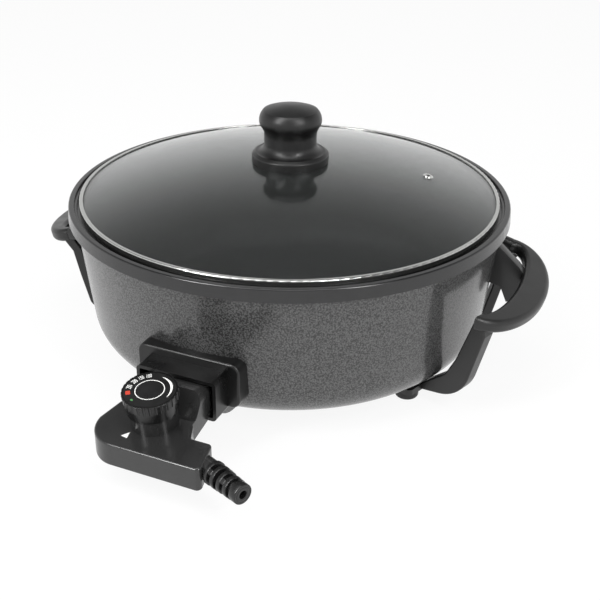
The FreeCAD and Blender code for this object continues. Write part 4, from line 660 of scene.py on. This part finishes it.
DIAL_LEAN = math.radians(8)
DIAL_REACH = 260 * MM
DIAL_HEIGHT = 50.2 * MM
dial_place = Matrix.Translation((0, axis.y - DIAL_REACH, DIAL_HEIGHT))
dial_frame = dial_place @ Matrix.Rotation(DIAL_LEAN, 4, "X")
POINTER = ((-11.7, -19.3), (-16.6, -25.2), (-10.4, -26.2))
INK_FILM = 0.06 * MM


def ink(piece):
    """Give a flat print its film."""
    film = piece.modifiers.new("film", "SOLIDIFY")
    film.thickness = INK_FILM
    film.offset = 0
    apply_modifiers(piece)


bpy.ops.object.select_all(action="DESELECT")
bpy.ops.mesh.primitive_circle_add(vertices=3, radius=1, fill_type="NGON")
pointer = bpy.context.object
for vertex, (x, y) in zip(pointer.data.vertices, POINTER):
    vertex.co = Vector((x, y, 0)) * MM
ink(pointer)
settle(pointer, "pointer_mark", white_ink, "thermostat", dial_frame)


# Dial
#
# A two-tier fluted knob with a round plate let into its face. The plate is printed in white with
# a ring, four temperatures and a tapered arc, and with a red and a green mark.

# Dial moulding: deep black with a low gloss, which shows as soft ticks on its flutes.
knurled = grained(
    "fluted_dial_moulding",
    ("#090909", "#0f0f0f"),
    patch=8, grain=1.5, relief=0.01, gloss=(0.2, 0.28),
)
dress("dial_knob", knurled)

# Dial plate: black sheet with a satin lacquer over the print.
plate = grained(
    "printed_dial_plate",
    ("#131313", "#1a1a1a"),
    patch=10, grain=0.8, relief=0.006, gloss=(0.26, 0.34),
)
dress("dial_plate", plate)

# Coloured inks for the marks at the scale's ends, with the film of the white one.
red_ink = grained(
    "red_printing_ink",
    ("#c8402c", "#b23624"),
    patch=2, grain=0.3, relief=0.004, gloss=(0.4, 0.55),
)
green_ink = grained(
    "green_printing_ink",
    ("#4f8a52", "#437a47"),
    patch=2, grain=0.3, relief=0.004, gloss=(0.4, 0.55),
)

FACE_HEIGHT = 32.5 * MM
RING_RADIUS = 12.1 * MM
RING_LINE = 0.75 * MM
SCALE_RADIUS = 17.3 * MM
FIGURE_HEIGHT = 4.4 * MM
FIGURE_NARROW = 0.5
FIGURE_BOLD = 0.12 * MM
TYPE_BODY = 1.4
MARK_ROUND = 0.6 * MM
face = dial_frame @ Matrix.Translation((0, 0, FACE_HEIGHT))

bpy.ops.object.select_all(action="DESELECT")
bpy.ops.mesh.primitive_circle_add(vertices=96, radius=RING_RADIUS, fill_type="NGON")
ring = bpy.context.object
bpy.ops.object.mode_set(mode="EDIT")
bpy.ops.mesh.select_all(action="SELECT")
bpy.ops.mesh.inset(thickness=RING_LINE)
bpy.ops.mesh.delete(type="FACE")
bpy.ops.object.mode_set(mode="OBJECT")
ink(ring)
settle(ring, "dial_ring", white_ink, "dial", face)

for figures, angle in (("250", 189), ("200", 165), ("150", 144), ("100", 123)):
    bpy.ops.object.select_all(action="DESELECT")
    bpy.ops.object.text_add()
    text = bpy.context.object
    text.data.body = figures
    text.data.align_x = "CENTER"
    text.data.align_y = "CENTER"
    text.data.size = FIGURE_HEIGHT * TYPE_BODY
    text.data.offset = FIGURE_BOLD
    bpy.ops.object.convert(target="MESH")
    text.scale.x = FIGURE_NARROW
    bpy.ops.object.transform_apply(location=True, rotation=True, scale=True)
    ink(text)
    outward = Matrix.Rotation(math.radians(angle), 4, "Z") @ Matrix.Translation((SCALE_RADIUS, 0, 0))
    upright = outward @ Matrix.Rotation(-math.pi / 2, 4, "Z")
    settle(text, f"dial_figures_{figures}", white_ink, "dial", face @ upright)

for name, angle, size, material in (
    ("dial_red_mark", 213, (3.8, 4.6), red_ink),
    ("dial_green_mark", 246, (1.8, 2.6), green_ink),
):
    bpy.ops.object.select_all(action="DESELECT")
    bpy.ops.mesh.primitive_plane_add(size=1)
    mark = bpy.context.object
    mark.scale = (size[0] * MM, size[1] * MM, 1)
    bpy.ops.object.transform_apply(location=True, rotation=True, scale=True)
    bpy.ops.object.mode_set(mode="EDIT")
    bpy.ops.mesh.bevel(offset=MARK_ROUND, segments=3, affect="VERTICES")
    bpy.ops.object.mode_set(mode="OBJECT")
    ink(mark)
    outward = Matrix.Rotation(math.radians(angle), 4, "Z") @ Matrix.Translation((SCALE_RADIUS, 0, 0))
    settle(mark, name, material, "dial", face @ outward)

ARC_START = math.radians(-8)
ARC_TURN = math.radians(92)
ARC_WIDTH = 2.0 * MM
ARC_TIP = 0.25

bpy.ops.object.select_all(action="DESELECT")
bpy.ops.mesh.primitive_circle_add(vertices=120, radius=SCALE_RADIUS + ARC_WIDTH / 2, fill_type="NGON")
arc = bpy.context.object
bpy.ops.object.mode_set(mode="EDIT")
bpy.ops.mesh.select_all(action="SELECT")
bpy.ops.mesh.inset(thickness=ARC_WIDTH)
bpy.ops.mesh.delete(type="FACE")
bpy.ops.mesh.select_all(action="DESELECT")
bpy.ops.object.mode_set(mode="OBJECT")
for part in arc.data.polygons:
    turn = (math.atan2(part.center.y, part.center.x) - ARC_START) % math.tau
    part.select = turn > ARC_TURN
bpy.ops.object.mode_set(mode="EDIT")
bpy.ops.mesh.delete(type="FACE")
bpy.ops.object.mode_set(mode="OBJECT")
for vertex in arc.data.vertices:
    turn = (math.atan2(vertex.co.y, vertex.co.x) - ARC_START) % math.tau
    share = min(turn / ARC_TURN, 1.0)
    width = ARC_TIP + (1 - ARC_TIP) * math.sin(math.pi * share)
    narrowed = SCALE_RADIUS + (vertex.co.length - SCALE_RADIUS) * width
    vertex.co *= narrowed / vertex.co.length
ink(arc)
settle(arc, "dial_arc", white_ink, "dial", face)


# Cord boot
#
# A sleeve of soft black PVC, held in the housing's collar by a flange. Rings joined by short
# bridges, each pair a quarter turn from the last, let it bend every way.

BOOT_TURN = math.radians(24)
BOOT_SIDE = 66 * MM
BOOT_REACH = 284.8 * MM
BOOT_HEIGHT = 37.2 * MM
BOOT_LENGTH = 36.7 * MM
BOOT_SEAT = -15.6 * MM
BOOT_FLANGE = 2.5 * MM
BOOT_RINGS = 5
RING_SHARE = 0.55
FIRST_RADIUS = 10.2 * MM
LAST_RADIUS = 8.6 * MM
CORE_RADIUS = 6.2 * MM
BORE_RADIUS = 3.5 * MM
NECK_RADIUS = 4.55 * MM
BRIDGE_WIDTH = 4.6 * MM
BOOT_START = 0.1 * MM
CORE_EDGE = 0.2 * MM
NECK_END = 0.2 * MM
NECK_EDGE = 0.1 * MM
FLANGE_STAND = 0.85 * MM
FLANGE_EDGE = 0.3 * MM
RING_ROOT = 0.3 * MM
RING_EDGE = 0.7 * MM
BRIDGE_SINK = 0.5 * MM
BRIDGE_ROOT = 0.4 * MM
BRIDGE_MIDDLE = 0.22
BRIDGE_SPAN = 0.6
BRIDGE_EDGE = 0.6 * MM
BRIDGE_TURN = math.radians(45)

boot_frame = (
    Matrix.Translation((BOOT_SIDE, axis.y - BOOT_REACH, BOOT_HEIGHT))
    @ Matrix.Rotation(-BOOT_TURN, 4, "Z")
    @ Matrix.Rotation(math.pi / 2, 4, "Y")
)


def boot_ring(radius, bore, low, high, edge):
    """A ring of the boot about its own Z axis, with its edges rounded."""
    bpy.ops.object.select_all(action="DESELECT")
    bpy.ops.mesh.primitive_cylinder_add(
        vertices=48,
        radius=radius,
        depth=high - low,
        location=(0, 0, (low + high) / 2),
        end_fill_type="NOTHING",
    )
    piece = bpy.context.object
    wall = piece.modifiers.new("wall", "SOLIDIFY")
    wall.thickness = radius - bore
    wall.offset = -1
    soft = piece.modifiers.new("soft_edge", "BEVEL")
    soft.width = edge
    soft.segments = 2
    apply_modifiers(piece)
    return piece


sleeve = [
    boot_ring(CORE_RADIUS, BORE_RADIUS, BOOT_START, BOOT_LENGTH, CORE_EDGE),
    boot_ring(NECK_RADIUS, BORE_RADIUS, BOOT_SEAT, NECK_END, NECK_EDGE),
    boot_ring(NECK_RADIUS + FLANGE_STAND, BORE_RADIUS, BOOT_SEAT - BOOT_FLANGE, BOOT_SEAT, FLANGE_EDGE),
]
pitch = BOOT_LENGTH / BOOT_RINGS
for number in range(BOOT_RINGS):
    radius = FIRST_RADIUS + (LAST_RADIUS - FIRST_RADIUS) * number / (BOOT_RINGS - 1)
    last = number == BOOT_RINGS - 1
    low = BOOT_START + number * pitch
    high = BOOT_LENGTH if last else low + RING_SHARE * pitch
    sleeve.append(boot_ring(radius, CORE_RADIUS - RING_ROOT, low, high, RING_EDGE))
    if last:
        continue
    for side in (0, math.pi):
        bpy.ops.object.select_all(action="DESELECT")
        middle = ((radius + CORE_RADIUS) / 2 - BRIDGE_SINK, 0, high + pitch * BRIDGE_MIDDLE)
        bpy.ops.mesh.primitive_cube_add(size=1, location=middle)
        bridge = bpy.context.object
        bridge.scale = (radius - CORE_RADIUS + BRIDGE_ROOT, BRIDGE_WIDTH, pitch * BRIDGE_SPAN)
        bpy.ops.object.transform_apply(location=True, rotation=True, scale=True)
        soft = bridge.modifiers.new("soft_edge", "BEVEL")
        soft.width = BRIDGE_EDGE
        soft.segments = 2
        apply_modifiers(bridge)
        bridge.rotation_euler.z = side + BRIDGE_TURN + number * math.pi / 2
        bpy.ops.object.transform_apply(location=True, rotation=True, scale=True)
        sleeve.append(bridge)
bpy.ops.object.select_all(action="DESELECT")
for piece in sleeve:
    piece.select_set(True)
bpy.context.view_layer.objects.active = sleeve[0]
bpy.ops.object.join()
boot = sleeve[0]
bpy.ops.object.shade_smooth_by_angle(angle=SOFT_ANGLE)

# Flexible PVC: black, soft and a little oily in its shine.
soft_pvc = grained(
    "flexible_pvc",
    ("#121212", "#1a1a1a"),
    patch=5, grain=0.8, relief=0.01, gloss=(0.24, 0.36),
)
settle(boot, "slotted_boot", soft_pvc, "thermostat", boot_frame)
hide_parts("cord_boot")
